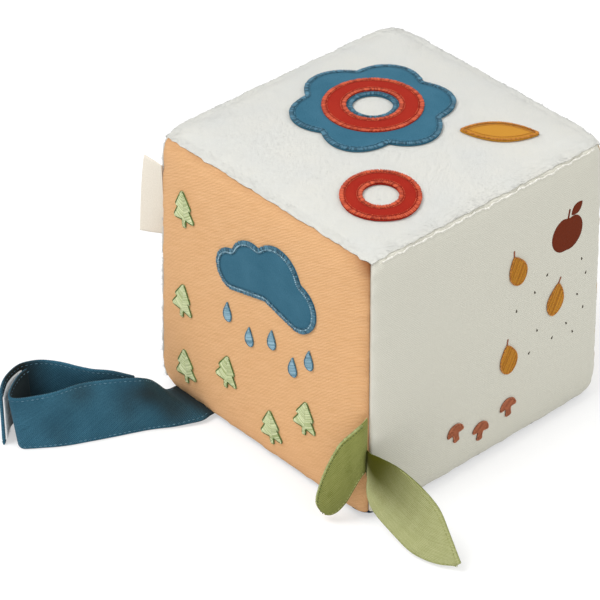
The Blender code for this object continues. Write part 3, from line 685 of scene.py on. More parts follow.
def makeCover():
    cube, grids, quads = coverGrid()
    start = blockForm(cube)
    mesh = newMesh("coverStart", start, [[int(k) for k in quad] for quad in quads])
    cover = linkUp("coverStart", mesh)
    normals = readBack(mesh.vertices, "normal", 3)
    seam = (np.abs(cube) > 0.9999).sum(1) > 1
    size = np.prod(np.where(np.abs(cube) > 0.9999, 1.0, 1 - cube ** 2), axis=1)
    swells = [(normals * size[:, None], 1.0)]
    swells = [(normals * size[:, None], 0.6), (blowUp(cover, seam) - start, 0.4)]
    spot = start.copy()
    for face, grid in grids.items():
        inner = grid[1:-1, 1:-1].ravel()
        cap = block["swellTop"] if face in ("top", "bottom") else block["swellSide"]
        for moved, part in swells:
            most = max(np.abs((moved[inner] * normals[inner]).sum(1)).max(), 1e-9)
            spot[inner] += moved[inner] * part * min(1.0, cap / most)
    spot[:, 2] = np.maximum(spot[:, 2], block["lowest"])
    bpy.data.objects.remove(cover, do_unlink=True)
    return cube, grids, spot, normals


cube, grids, coverSpots, coverNormals = makeCover()
print("cover blown up against its seams")


def wave(values, seed):
    # a smooth, seeded, uneven wave along a length in metres
    dice = np.random.RandomState(seed)
    total = np.zeros_like(values)
    for pitch in (27.0, 17.0, 11.0, 7.3, 4.9):
        total += np.sin(2 * math.pi * (values / (pitch * mm) + dice.rand())) * (0.5 + dice.rand())
    return total / 3.4


def makePanel(name, face, finish, node, slot, seed):
    normal, across, up = (np.array(axis, float) for axis in faces[face])
    grid = grids[face]
    rows, columns = grid.shape
    spots = coverSpots[grid.ravel()]
    cubes = cube[grid.ravel()]
    u, v = cubes @ across, cubes @ up
    halfAcross = np.ptp(spots @ across) / 2
    halfUp = np.ptp(spots @ up) / 2
    quads = [(k, k + 1, k + columns + 1, k + columns) for j in range(rows - 1)
             for k in range(j * columns, (j + 1) * columns - 1)]
    mesh = newMesh(name, spots, quads)
    giveNumbers(mesh, "u", u * halfAcross)
    giveNumbers(mesh, "v", v * halfUp)
    store = mesh.attributes.new("out", "FLOAT_VECTOR", "POINT")
    store.data.foreach_set("vector", coverNormals[grid.ravel()].ravel())
    holder = linkUp(name + "Start", mesh)
    finer = holder.modifiers.new("finer", "SUBSURF")
    finer.subdivision_type = "CATMULL_CLARK"
    finer.boundary_smooth = "PRESERVE_CORNERS"
    finer.levels = finer.render_levels = 1
    fine = bake(holder, name)
    u, v = (readBack(fine.attributes[title].data, "value", 1).ravel() for title in ("u", "v"))
    out = readBack(fine.attributes["out"].data, "vector", 3)
    out /= np.maximum(np.linalg.norm(out, axis=1), 1e-9)[:, None]
    spots = readBack(fine.vertices, "co", 3)
    toSide = halfAcross - np.abs(u)
    toEnd = halfUp - np.abs(v)
    edge = np.clip(np.minimum(toSide, toEnd), 0, 1)
    along = np.where(toSide < toEnd, v + np.sign(u) * 0.31, u + np.sign(v) * 0.77)
    curl = np.clip(1 - edge / block["curlWidth"], 0, 1) ** 2
    curl *= block["plushCurl"] if finish == "plushBase" else block["curl"]
    draw = np.exp(-edge / block["puckerWidth"]) - np.exp(-edge / (0.25 * block["puckerWidth"]))
    pucker = draw * block["pucker"] * wave(along, seed) * 1.6
    sink = np.zeros(len(spots))
    if finish == "plushBase":  # its pile stands on it, and it laps over the cloth beside it
        sink = block["plushSink"] * np.clip(edge / block["sinkWidth"], 0, 1)
        ways = ((across, u, toSide), (up, v, toEnd)) if face == "top" else ((across, u, toSide),)
        for way, place, far in ways:
            lap = block["lap"] * np.clip(1 - far / block["lapWidth"], 0, 1)
            lap *= 1 + block["lapWander"] * wave(along, seed + 5)
            spots += way * (lap * np.sign(place))[:, None]
    spots -= out * (curl + sink - np.maximum(pucker, -block["pucker"]))[:, None]
    clear = block["footClear"] if face == "bottom" else block["floorClear"]
    spots[:, 2] = np.maximum(spots[:, 2], clear)
    fine.vertices.foreach_set("co", spots.ravel())
    # painted shade along each panel's seams, where the cloth turns in (on the cream panel a painted
    # light band instead), and on the front panel a painted dimple shadow at its top right corner
    shade = np.clip(1 - edge / block["shadeWidth"], 0, 1) ** 2
    shade *= 0.75 + 0.25 * wave(along, seed + 9)
    if face == "front":
        shade += block["dimpleShadow"] * np.exp(-((halfAcross - u) ** 2 + (halfUp - v) ** 2)
                                          / block["dimpleShadowWidth"] ** 2)
    giveNumbers(fine, "seamShade", shade)
    giveUv(fine, np.column_stack((u, v)))
    for title in ("u", "v", "out"):
        fine.attributes.remove(fine.attributes[title])
    fine.shade_smooth()
    fine.materials.append(finishes[finish])
    piece = linkUp(name, fine)
    skin = BVHTree.FromPolygons([Vector(spot) for spot in spots],
                                [list(poly.vertices) for poly in fine.polygons])
    giveWall(piece, block["cloth"])
    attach(piece, "block")
    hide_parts(node)
    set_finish(piece, slot)
    return piece, skin


def makeWadding():
    count = block["cells"]
    keep = list(range(0, count + 1, 2))
    numbers, quads = {}, []
    for grid in grids.values():
        for j in range(len(keep) - 1):
            for i in range(len(keep) - 1):
                ring = [grid[keep[j], keep[i]], grid[keep[j], keep[i + 1]],
                        grid[keep[j + 1], keep[i + 1]], grid[keep[j + 1], keep[i]]]
                quads.append([numbers.setdefault(int(k), len(numbers)) for k in ring])
    chosen = np.array(list(numbers))
    spots = coverSpots[chosen] - coverNormals[chosen] * 2.6 * mm
    mesh = newMesh("wadding", spots, quads)
    giveUv(mesh, spots[:, [0, 2]])
    mesh.shade_smooth()
    mesh.materials.append(finishes["wadding"])
    piece = linkUp("wadding", mesh)
    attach(piece, "block")
    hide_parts("filling")
    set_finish(piece, "wadding")


panels, skins = {}, {}
for name, face, finish, node, slot, seed in (
        ("frontPanel", "front", "peachTwill", "panel_front_cotton", "peach_cotton", 3),
        ("rightPanel", "right", "creamSateen", "panel_right_sateen", "cream_sateen", 14),
        ("backPanel", "back", "oatCotton", "panel_back_cotton", "oat_cotton", 5),
        ("leftPanel", "left", "plushBase", "panel_left_plush", "white_plush", 6),
        ("topPanel", "top", "plushBase", "panel_top_plush", "white_plush", 17),
        ("bottomPanel", "bottom", "navyCotton", "panel_bottom_cotton", "navy_cotton", 8)):
    panels[face], skins[face] = makePanel(name, face, finish, node, slot, seed)
makeWadding()
print("six panels and the wadding made")

# Motifs: cut cloth with satin borders, satin-filled shapes, and prints


def lay(face, x, y, lift=0.0):
    # a place on a panel and the way out of it, from its plan: x across it, y up from the floor
    normal, across, up = (Vector(axis) for axis in faces[face])
    hits = []
    for dx, dy in ((0.0, 0.0), (0.0006, 0.0), (0.0, 0.0006)):
        start = across * (x + dx) + up * (y + dy) + normal * 0.2
        hits.append(skins[face].ray_cast(start, -normal)[0])
    out = (hits[1] - hits[0]).cross(hits[2] - hits[0]).normalized()
    return hits[0] + out * lift, out


def turned(points, degrees, place):
    turn = Matrix.Rotation(math.radians(degrees), 2)
    return [tuple(turn @ Vector(point) + Vector(place)) for point in points]


def around(count, point):
    # a closed outline from its point at each angle of one turn
    return [point(2 * math.pi * k / count) for k in range(count)]


def circleOutline(radius, place):
    return around(72, lambda a: (place[0] + radius * math.cos(a),
                                 place[1] + radius * math.sin(a)))


def flowerOutline(radius, petals, wave, place):
    def point(angle):
        reach = radius * (1 - wave * (1 - abs(math.cos(petals * angle / 2))))
        return place[0] + reach * math.cos(angle), place[1] + reach * math.sin(angle)

    return around(180, point)


def leafOutline(length, width, count=24):
    shares = [k / count for k in range(count)]
    upper = [(length * (s - 0.5), width / 2 * math.sin(math.pi * s) ** 0.8) for s in shares]
    return upper + [(-x, -y) for x, y in upper]


def dropOutline(length, width, count=28):
    def point(angle):
        taper = math.sin(angle / 2) ** 1.6
        return width / 2 * math.sin(angle) * taper * 1.3, length / 2 * math.cos(angle)

    return around(count, point)[::-1]


def cloudOutline(width, height):
    heaps = ((0.30, -0.10, 0.19), (0.11, 0.14, 0.23), (-0.14, 0.04, 0.20), (-0.33, -0.16, 0.16))
    middle = Vector((0.0, -0.3 * height))

    def point(angle):
        ray = Vector((math.cos(angle), math.sin(angle)))
        reach = 0.0
        for xShare, yShare, radius in heaps:
            across = Vector((xShare * width, yShare * height)) - middle
            along = across.dot(ray)
            room = (radius * width) ** 2 - (across.length_squared - along ** 2)
            if room > 0:
                reach = max(reach, along + math.sqrt(room))
        if ray.y < 0:
            reach = min(reach, 0.2 * height / -ray.y)
        return tuple(middle + ray * reach)

    return around(160, point)


def treeOutline(width, height):
    half = ((0.07, -0.50), (0.07, -0.30), (0.46, -0.32), (0.50, -0.26), (0.27, 0.02),
            (0.36, 0.02), (0.38, 0.07), (0.06, 0.47), (0.0, 0.50))
    right = [(x * width, y * height) for x, y in half]
    return right + [(-x, y) for x, y in right[-2::-1]]


def mushroomOutline(width, height, count=20):
    stem = ((0.15, -0.02), (0.13, -0.30), (0.18, -0.46), (0.0, -0.50), (-0.18, -0.46),
            (-0.13, -0.30), (-0.15, -0.02))
    steps = [math.pi * k / count for k in range(count + 1)]
    cap = [(-width / 2 * math.cos(a), height * (0.5 * math.sin(a) - 0.04)) for a in steps]
    return [(x * width, y * height) for x, y in stem] + cap


def pearOutline(width, height):
    def point(angle):
        level = math.cos(angle)
        girth = 0.80 - 0.26 * level - 0.14 * math.cos(2 * angle)
        return width / 2 * math.sin(angle) * girth, height / 2 * level

    return around(36, point)[::-1]


def appleOutline(width):
    def point(angle):
        dent = 0.16 * math.exp(-((angle - math.pi / 2) / 0.34) ** 2)
        foot = 0.06 * math.exp(-((angle - 1.5 * math.pi) / 0.3) ** 2)
        reach = width / 2 * (1 - dent - foot + 0.04 * abs(math.cos(angle)))
        return reach * math.cos(angle), reach * math.sin(angle) * 0.94

    return around(60, point)


def inside(spots, ring):
    # which of the spots lie in a closed outline
    ring = np.array(ring)
    found = np.zeros(len(spots), bool)
    for (x0, y0), (x1, y1) in zip(ring, np.roll(ring, -1, axis=0)):
        if y0 == y1:
            continue
        between = (spots[:, 1] > min(y0, y1)) & (spots[:, 1] <= max(y0, y1))
        cross = x0 + (spots[:, 1] - y0) * (x1 - x0) / (y1 - y0)
        found ^= between & (spots[:, 0] < cross)
    return found


def toOutline(spots, rings):
    # each spot's distance from the nearest of the outlines
    least = np.full(len(spots), 1.0)
    for ring in rings:
        ring = np.array(ring)
        for first, second in zip(ring, np.roll(ring, -1, axis=0)):
            step = second - first
            share = np.clip(((spots - first) @ step) / max(step @ step, 1e-12), 0, 1)
            least = np.minimum(least, np.linalg.norm(spots - first - share[:, None] * step, axis=1))
    return least


def evenRing(ring, pitch):
    # a closed outline with evenly spaced points
    ring = np.array(list(ring) + [ring[0]])
    run = np.concatenate(([0], np.cumsum(np.linalg.norm(np.diff(ring, axis=0), axis=1))))
    steps = np.linspace(0, run[-1], max(int(run[-1] / pitch), 8), endpoint=False)
    return np.column_stack([np.interp(steps, run, ring[:, way]) for way in (0, 1)])


def inset(ring, depth):
    # a closed anticlockwise outline moved inwards, with its corners softened
    before, after = np.roll(ring, 2, axis=0), np.roll(ring, -2, axis=0)
    way = after - before
    way /= np.maximum(np.linalg.norm(way, axis=1), 1e-9)[:, None]
    moved = ring + np.column_stack((-way[:, 1], way[:, 0])) * depth
    return (np.roll(moved, 1, axis=0) + moved + np.roll(moved, -1, axis=0)) / 3


def closedEdges(first, count):
    return [(first + k, first + (k + 1) % count) for k in range(count)]


def cutCloth(face, outline, holes=(), pitch=1.6 * mm, low=0.1 * mm, lift=0.5 * mm, puff=1.5 * mm):
    # a filled outline laid on a panel: flat at its edge, and lifted a little inside it
    rings = [evenRing(ring, pitch * 0.6) for ring in (outline, *holes)]
    spots = np.array(outline)
    (x0, y0), (x1, y1) = spots.min(0), spots.max(0)
    across, up = np.meshgrid(np.arange(x0, x1, pitch), np.arange(y0, y1, pitch))
    across[::2] += pitch / 2
    grid = np.column_stack((across.ravel(), up.ravel()))
    keep = inside(grid, rings[0]) & (toOutline(grid, rings) > pitch * 0.45)
    for ring in rings[1:]:
        keep &= ~inside(grid, ring)
    points = np.vstack(rings + [grid[keep]])
    edges, first = [], 0
    for ring in rings:
        edges += closedEdges(first, len(ring))
        first += len(ring)
    found = delaunay_2d_cdt([Vector(point) for point in points], edges, [], 0, 1e-7)
    places = np.array([tuple(point) for point in found[0]])
    middles = np.array([places[list(tri)].mean(0) for tri in found[2]])
    good = inside(middles, rings[0])
    for ring in rings[1:]:
        good &= ~inside(middles, ring)
    depth = toOutline(places, rings)
    rise = low + (lift - low) * (1 - np.exp(-depth / puff))
    laid = [lay(face, x, y, up)[0] for (x, y), up in zip(places, rise)]
    tris = [tuple(tri) for tri, fine in zip(found[2], good) if fine]
    return laid, tris, places


def clothPiece(name, parts, finish, thickness):
    # one mesh out of several laid cloths, with UVs in metres and a wall
    spots, tris, flats = [], [], []
    for laid, cut, places in parts:
        tris += [tuple(k + len(spots) for k in tri) for tri in cut]
        spots += laid
        flats += [tuple(place) for place in places]
    mesh = newMesh(name, spots, tris)
    giveUv(mesh, flats)
    mesh.shade_smooth()
    mesh.materials.append(finishes[finish])
    piece = linkUp(name, mesh)
    giveWall(piece, thickness)
    return piece


def guideRings(face, rings, pitch, depth, lift):
    # closed paths on a panel for a row of stitches, each point with its way out of the panel
    spots, edges, outs = [], [], []
    for ring in rings:
        ring = inset(evenRing(ring, pitch), depth)
        first = len(spots)
        for x, y in ring:
            spot, out = lay(face, x, y, lift)
            spots.append(spot)
            outs.append(out)
        edges += closedEdges(first, len(ring))
    return guideMesh(spots, edges, outs)


def guideMesh(spots, edges, outs):
    mesh = bpy.data.meshes.new("guide")
    mesh.from_pydata([tuple(spot) for spot in spots], edges, [])
    store = mesh.attributes.new("up", "FLOAT_VECTOR", "POINT")
    store.data.foreach_set("vector", np.array([tuple(out) for out in outs]).ravel())
    return mesh


def threadRows(face, outline, degrees, pitch, lift, seed):
    # the threads that fill an outline, side by side at an angle
    dice = np.random.RandomState(seed)
    turn = np.array(Matrix.Rotation(math.radians(degrees), 2))
    ring = np.array(outline) @ turn
    spots, outs = [], []
    for level in np.arange(ring[:, 1].min() + pitch / 2, ring[:, 1].max(), pitch):
        cuts = []
        for (x0, y0), (x1, y1) in zip(ring, np.roll(ring, -1, axis=0)):
            if (y0 > level) != (y1 > level):
                cuts.append(x0 + (level - y0) * (x1 - x0) / (y1 - y0))
        cuts.sort()
        for left, right in zip(cuts[::2], cuts[1::2]):
            if right - left < 0.25 * mm:
                continue
            wobble = dice.uniform(-0.12, 0.2, 2) * mm
            for x in (left - wobble[0], right + wobble[1]):
                spot, out = lay(face, *(np.array((x, level)) @ turn.T), lift)
                spots.append(spot)
                outs.append(out)
    return spots, outs


def fillThreads(name, face, shapes, finish, look, seed):
    spots, outs = [], []
    for number, (outline, degrees) in enumerate(shapes):
        more = threadRows(face, outline, degrees, look["pitch"], look["lift"], seed + number)
        spots += more[0]
        outs += more[1]
    guide = guideMesh(spots, [(k, k + 1) for k in range(0, len(spots), 2)], outs)
    piece = grow(name, guide, threadFill, {"Thickness": look["thread"], "Bow": look["bow"],
                                           "Lift": 0.0, "Seed": seed, "Finish": finishes[finish]})
    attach(piece, "block")
    return piece


def rowLook(pitch, along, across, height, jitter, **more):
    # a row's pitch and the size of its stitches in millimetres, and how unevenly they lie
    return dict(pitch=pitch * mm, along=along * mm, across=across * mm, height=height * mm,
                jitter=jitter, **more)


def stitches(name, guide, finish, look, seed):
    sizes = {title.capitalize(): look[title]
             for title in ("pitch", "along", "across", "height", "jitter")}
    return grow(name, guide, stitchRow, {**sizes, "Lift": 0.0, "Seed": seed,
                                         "Finish": finishes[finish]})


def stitchBorder(name, face, rings, finish, look, seed):
    guide = guideRings(face, rings, look["pitch"], look["depth"], look["lift"])
    piece = stitches(name, guide, finish, look, seed)
    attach(piece, "block")
    return piece


topMotifs = {"flower": 33.0 * mm, "petals": 6, "wave": 0.17, "window": 8.0 * mm,
             "flowerPlace": (-12.0 * mm, 6.0 * mm), "ring": 20.0 * mm, "ringHole": 10.5 * mm,
             "dot": 15.5 * mm, "dotHole": 7.0 * mm, "dotPlace": (34.0 * mm, -33.0 * mm),
             "leaf": (31.0 * mm, 13.0 * mm), "leafPlace": (33.0 * mm, 31.0 * mm), "leafTurn": 48.0}
frontMotifs = {"cloud": (58.0 * mm, 31.0 * mm), "cloudPlace": (6.0 * mm, 88.0 * mm),
               "drop": (9.0 * mm, 5.2 * mm),
               "drops": ((-16.0, 62.0), (-3.0, 57.0), (10.0, 62.5), (22.0, 56.0), (31.0, 64.0)),
               "tree": (12.5 * mm, 16.0 * mm),
               "trees": ((-43.0, 96.0, 6.0), (-44.0, 52.0, -5.0), (-43.0, 20.0, 4.0),
                         (-17.0, 32.0, -6.0), (9.0, 19.0, 3.0), (29.0, 35.0, -4.0))}
rightMotifs = {"pear": (9.5 * mm, 14.0 * mm),
               "pears": ((12.0, 86.0, 16.0), (34.0, 62.0, -12.0), (8.0, 46.0, 8.0)),
               "mushroom": (8.5 * mm, 9.0 * mm),
               "mushrooms": ((-20.0, 24.0, 9.0), (-6.0, 18.0, -7.0), (9.0, 22.0, 5.0)),
               "apple": 17.0 * mm, "applePlace": (40.0 * mm, 90.0 * mm),
               "stalk": ((-0.4, 6.4), (0.4, 6.4), (1.3, 9.6), (0.6, 9.8)),
               "sprig": ((-0.5, 5.6), (0.5, 5.6), (1.6, 10.6), (0.7, 11.0)),
               "pip": (1.7 * mm, 1.0 * mm, 14),
               "pips": ((22.0, 71.0, 20.0), (29.0, 76.0, -35.0), (49.0, 74.0, 15.0),
                        (52.0, 66.0, -20.0), (47.0, 58.0, 40.0), (51.0, 50.0, -10.0),
                        (41.0, 47.0, 30.0), (33.0, 44.0, -30.0), (24.0, 52.0, 10.0),
                        (20.0, 43.0, -45.0), (45.0, 41.0, 25.0), (12.0, 67.0, 0.0))}
borderLook = rowLook(0.42, 0.5, 1.9, 0.5, 0.32, depth=0.75 * mm)
lineLook = rowLook(0.95, 0.85, 0.32, 0.3, 0.1, depth=2.1 * mm)
rimLook = rowLook(0.5, 0.62, 0.62, 0.5, 0.3, depth=0.0, lift=0.46 * mm)
wallLook = {"cut": 0.45 * mm, "thin": 0.1 * mm}
fillLook = {"pitch": 0.27 * mm, "thread": 0.33 * mm, "lift": 0.32 * mm, "bow": 0.3 * mm}
hatchLook = {"pitch": 0.36 * mm, "thread": 0.36 * mm, "lift": 0.3 * mm, "bow": 0.12 * mm}


def millimetres(points):
    return [tuple(value * mm for value in point[:2]) + tuple(point[2:]) for point in points]


def placed(outline, places):
    # the same outline at several places, each given in millimetres with its turn in degrees
    return [turned(outline, turn, (x, y)) for x, y, turn in millimetres(places)]


def cutAll(face, outlines, pitch, low, lift):
    return [cutCloth(face, outline, pitch=pitch, low=low, lift=lift) for outline in outlines]


def raisedLook(look, **changes):
    return {**look, **changes}


def sewMotif(name, face, outline, holes, cloth, thread, node, slot, low, lift, seed, borders=None):
    # one cloth motif: its cut cloth, the satin border on each edge and the fine line inside it
    laid = cutCloth(face, outline, holes, low=low, lift=lift)
    piece = clothPiece(name, [laid], cloth, wallLook["cut"])
    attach(piece, "block")
    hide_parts(node)
    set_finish(piece, slot)
    look = raisedLook(borderLook, lift=lift + 0.02 * mm, **(borders or {}))
    rings = [outline] + [ring[::-1] for ring in holes]
    border = stitchBorder(name + "Border", face, rings, thread, look, seed)
    line = raisedLook(lineLook, lift=lift + 0.1 * mm)
    inner = stitchBorder(name + "Line", face, rings, thread, line, seed + 1)
    for ring in (outline, *holes):
        x, y = np.array(ring).T
    return piece


def makeTopMotifs():
    top = topMotifs
    deep = block["plushSink"]
    flower = flowerOutline(top["flower"], top["petals"], top["wave"], top["flowerPlace"])
    window = circleOutline(top["window"], top["flowerPlace"])
    sewn = [sewMotif("flower", "top", flower, [window], "blueSuede", "blueThread", "flower_blue",
                     "blue_velvet", deep - 0.1 * mm, deep + 0.45 * mm, 21)]
    ring = circleOutline(top["ring"], top["flowerPlace"])
    hole = circleOutline(top["ringHole"], top["flowerPlace"])
    sewMotif("flowerRing", "top", ring, [hole], "redFelt", "redThread", "flower_ring_red",
             "red_felt", deep + 0.5 * mm, deep + 1.0 * mm, 31)
    dot = circleOutline(top["dot"], top["dotPlace"])
    hole = circleOutline(top["dotHole"], top["dotPlace"])
    sewn.append(sewMotif("dotRing", "top", dot, [hole], "redFelt", "redThread", "dot_ring_red",
                         "red_felt", deep - 0.1 * mm, deep + 0.5 * mm, 41))
    leaf = turned(leafOutline(*top["leaf"])[::-1], top["leafTurn"], top["leafPlace"])
    sewn.append(sewMotif("mustardLeaf", "top", leaf, [], "mustardTwill", "amberThread",
                         "leaf_mustard", "mustard_cotton", deep - 0.1 * mm, deep + 0.4 * mm, 51,
                         {"across": 1.3 * mm, "depth": 0.5 * mm}))
    return sewn


def makeFrontMotifs():
    front = frontMotifs
    cloud = turned(cloudOutline(*front["cloud"]), 0.0, front["cloudPlace"])
    sewMotif("cloud", "front", cloud, [], "blueSuede", "blueThread", "cloud_blue", "blue_velvet",
             0.1 * mm, 0.7 * mm, 61)
    edging = stitchBorder("cloudEdging", "front", [cloud], "skyThread",
                          raisedLook(rimLook, depth=1.55 * mm, lift=0.95 * mm, pitch=0.8 * mm), 65)
    edging["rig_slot"] = "pale_blue_thread"
    drops = [turned(dropOutline(*front["drop"]), 0.0, place)
             for place in millimetres(front["drops"])]
    sewFilled("raindrops", "front", [(drop, 25.0) for drop in drops], drops, "skyThread",
              "blueThread", "raindrop_%d", "pale_blue_thread", fillLook, 71)
    trees, halves = [], []
    for x, y, turn in millimetres(front["trees"]):
        outline = treeOutline(*front["tree"])
        trees.append(turned(outline, turn, (x, y)))
        count = len(outline) // 2
        right = outline[:count + 1]
        left = outline[count:]
        halves.append((turned([(0.0, outline[0][1])] + right, turn, (x, y)), turn + 32.0))
        halves.append((turned(left + [(0.0, outline[0][1])], turn, (x, y)), turn - 32.0))
    sewFilled("trees", "front", halves, trees, "greenThread", "mossThread", "tree_%d",
              "green_thread", fillLook, 81)


def sewFilled(name, face, shapes, outlines, thread, rim, node, slot, look, seed):
    # satin-filled shapes: a thin bed, the threads over it and a row of stitches at the edge
    beds = cutAll(face, outlines, 1.2 * mm, 0.12 * mm, look["lift"])
    bed = clothPiece(name + "Bed", beds, thread, wallLook["thin"])
    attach(bed, "block")
    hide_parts(*(node % k for k in range(1, len(outlines) + 1)))
    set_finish(bed, slot)
    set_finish(fillThreads(name + "Threads", face, shapes, thread, look, seed), slot)
    rims = stitchBorder(name + "Rim", face, outlines, rim, rimLook, seed + 50)
    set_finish(rims, slot)


def makeRightMotifs():
    right = rightMotifs
    pears = placed(pearOutline(*right["pear"]), right["pears"])
    sewFilled("pears", "right", [(pear, 62.0) for pear in pears], pears, "goldThread",
              "amberThread", "pear_%d", "mustard_thread", hatchLook, 91)
    mushrooms = placed(mushroomOutline(*right["mushroom"]), right["mushrooms"])
    sewFilled("mushrooms", "right", [(one, 38.0) for one in mushrooms], mushrooms, "brownThread",
              "brownThread", "mushroom_%d", "brown_thread",
              raisedLook(hatchLook, thread=0.34 * mm), 101)
    stalks = placed(millimetres(right["stalk"]), right["pears"])
    stalks = cutAll("right", stalks, 0.5 * mm, 0.15 * mm, 0.3 * mm)
    stalk = clothPiece("pearStalks", stalks, "brownThread", wallLook["thin"])
    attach(stalk, "block")
    x, y = right["applePlace"]
    apple = turned(appleOutline(right["apple"]), -6.0, (x, y))
    sprig = turned(millimetres(right["sprig"]), 0.0, (x, y))
    leaf = turned([(a * 0.24, b * 0.36) for a, b in leafOutline(*topMotifs["leaf"])[::-1]], 32.0,
                  (x + 5.2 * mm, y + 9.4 * mm))
    prints = cutAll("right", (apple, sprig, leaf), 1.2 * mm, 0.05 * mm, 0.07 * mm)
    printed = clothPiece("applePrint", prints, "maroonPrint", wallLook["thin"])
    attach(printed, "block")
    pips = placed(dropOutline(*right["pip"]), right["pips"])
    pips = cutAll("right", pips, 0.5 * mm, 0.05 * mm, 0.07 * mm)
    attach(clothPiece("pipPrint", pips, "pipPrint", wallLook["thin"]), "block")


def makeSeamRidge(name, face, level, low, high, finish, look, seed):
    # the fine lip of a seam, a cord of thread that wanders a little
    steps = np.arange(low, high, 1.2 * mm)
    drift = wave(steps, seed) * look["wander"]
    laid = [lay(face, x, level + y) for x, y in zip(steps, drift)]
    guide = guideMesh([spot + out * look["lift"] for spot, out in laid],
                      [(k, k + 1) for k in range(len(laid) - 1)], [out for spot, out in laid])
    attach(stitches(name, guide, finish, look, seed), "block")


ridgeLook = rowLook(0.7, 1.1, 0.8, 0.75, 0.25, lift=0.2 * mm, wander=0.4 * mm)
makeSeamRidge("creamRidge", "right", 120.3 * mm, -56 * mm, 56 * mm, "creamThread", ridgeLook, 140)
topSewn = makeTopMotifs()
makeFrontMotifs()
makeRightMotifs()
print("motifs sewn on")

# Plush pile on the top and left panels

pileLook = {"density": 3.5e6, "length": 0.36 * mm, "width": 0.27 * mm, "lean": 0.15, "rim": 0.0}
fuzzLook = {"density": 1.3e6, "length": 1.5 * mm, "width": 0.14 * mm, "lean": 0.8, "rim": 1.0}


def growFibres(name, mesh, look, finish, **more):
    sizes = {title.capitalize(): value for title, value in look.items()}
    return grow(name, mesh, pile, {**sizes, "Finish": finishes[finish], **more})


def growPlush(name, face, look, comb, seed, **more):
    piece = growFibres(name, panels[face].data.copy(), look, "plushPile", Comb=comb, Seed=seed,
                       **more)
    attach(piece, "block")
    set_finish(piece, "white_plush")


def joinedCopy(pieces):
    # the sewn cloths as one plain mesh, for the pile to keep clear of
    build = bmesh.new()
    for piece in pieces:
        build.from_mesh(piece.data)
    mesh = bpy.data.meshes.new("sewnCover")
    build.to_mesh(mesh)
    build.free()
    return linkUp("sewnCover", mesh)


sewnCover = joinedCopy(topSewn)
growPlush("topPile", "top", pileLook, (0.12, -0.16, 0.0), 7, Cover=sewnCover)
growPlush("leftPile", "left", pileLook, (0.0, -0.1, -0.4), 8)
growPlush("topFuzz", "top", fuzzLook, (0.2, -0.3, 0.0), 9, Cover=sewnCover)
growPlush("leftFuzz", "left", fuzzLook, (0.0, -0.2, 0.3), 10)
bpy.data.objects.remove(sewnCover, do_unlink=True)
print("pile grown")

# Loose cloth: leaves and tag, and what the strap shares with them, each a sewn double
# cloth on a curved surface

leafLook = {"ply": 0.7 * mm, "gap": 0.3 * mm, "standOff": 1.5 * mm, "rootGap": 0.3 * mm,
            "seamDepth": 2.2 * mm, "half": 0.95 * mm, "rim": 0.3 * mm, "round": 1.6 * mm,
            "toSeam": 0.45 * mm, "cells": (44, 22), "into": 1.2 * mm, "ripple": 0.25 * mm,
            "thin": 0.02 * mm, "bend": (0.2 * mm, 3.5 * mm)}
leftLeaf = {
    "side": -1, "heading": -146.0, "reach": 20.3 * mm, "rise": 52.0 * mm, "cup": -2.2 * mm,
    "sway": 0.0,
    "upper": ((0.0, 1.0), (0.20, 0.895), (0.43, 0.77), (0.65, 0.57), (0.82, 0.36), (0.90, 0.19),
              (0.80, 0.10)),
    "lower": ((0.0, 0.51), (0.09, 0.43), (0.19, 0.33), (0.31, 0.22), (0.45, 0.13), (0.57, 0.085),
              (0.69, 0.075)),
    "sways": (0.0,) * 7}
rightLeaf = {
    "side": 1, "heading": 9.5, "reach": 43.0 * mm, "rise": 36.0 * mm, "cup": 1.4 * mm,
    "sway": 3.4 * mm,
    "upper": ((0.0, 1.02), (0.15, 1.025), (0.33, 1.005), (0.56, 0.905), (0.77, 0.735),
              (0.90, 0.465), (1.025, 0.15)),
    "lower": ((0.0, 0.68), (0.0, 0.43), (0.08, 0.275), (0.30, 0.13), (0.55, 0.055),
              (0.79, 0.045), (0.965, 0.07)),
    "sways": (0.0, 0.1, 0.25, 0.45, 1.0, 0.8, 0.0)}
leafRidge = Vector((61.29 * mm, -64.15 * mm, 0.0))  # the front seam's ridge at the leaves' root
tagLook = {"hinge": Vector((-60.68 * mm, -62.97 * mm, 0.0)), "height": 33.0 * mm,
           "reach": 8.6 * mm, "top": 107.5 * mm, "half": 0.5 * mm, "topHeading": 180.0,
           "bottomHeading": 214.0, "seamDepth": 2.0 * mm, "ripple": 0.22 * mm,
           "bendHeading": 197.0, "bend": (0.4 * mm, 2.6 * mm)}


def mix(low, high, share):
    return low + (high - low) * share


def heading(degrees):
    return Vector((math.cos(math.radians(degrees)), math.sin(math.radians(degrees)), 0.0))


def smoothPath(points, share):
    count = len(points) - 1
    place = min(max(share, 0.0), 1.0) * count
    index = min(int(place), count - 1)
    t = place - index
    before, after = points[max(index - 1, 0)], points[min(index + 2, count)]
    start, end = points[index], points[index + 1]
    slopeIn, slopeOut = (end - before) / 2, (after - start) / 2
    return (start * (2 * t ** 3 - 3 * t ** 2 + 1) + slopeIn * (t ** 3 - 2 * t ** 2 + t)
            + end * (3 * t ** 2 - 2 * t ** 3) + slopeOut * (t ** 3 - t ** 2))


def surfaceSpot(surface, across, up):
    # a place on a curved sheet with its normal
    step = 0.01
    along = surface(min(across + step, 1), up) - surface(max(across - step, -1), up)
    rise = surface(across, min(up + step, 1)) - surface(across, max(up - step, -1))
    return surface(across, up), along.cross(rise).normalized()


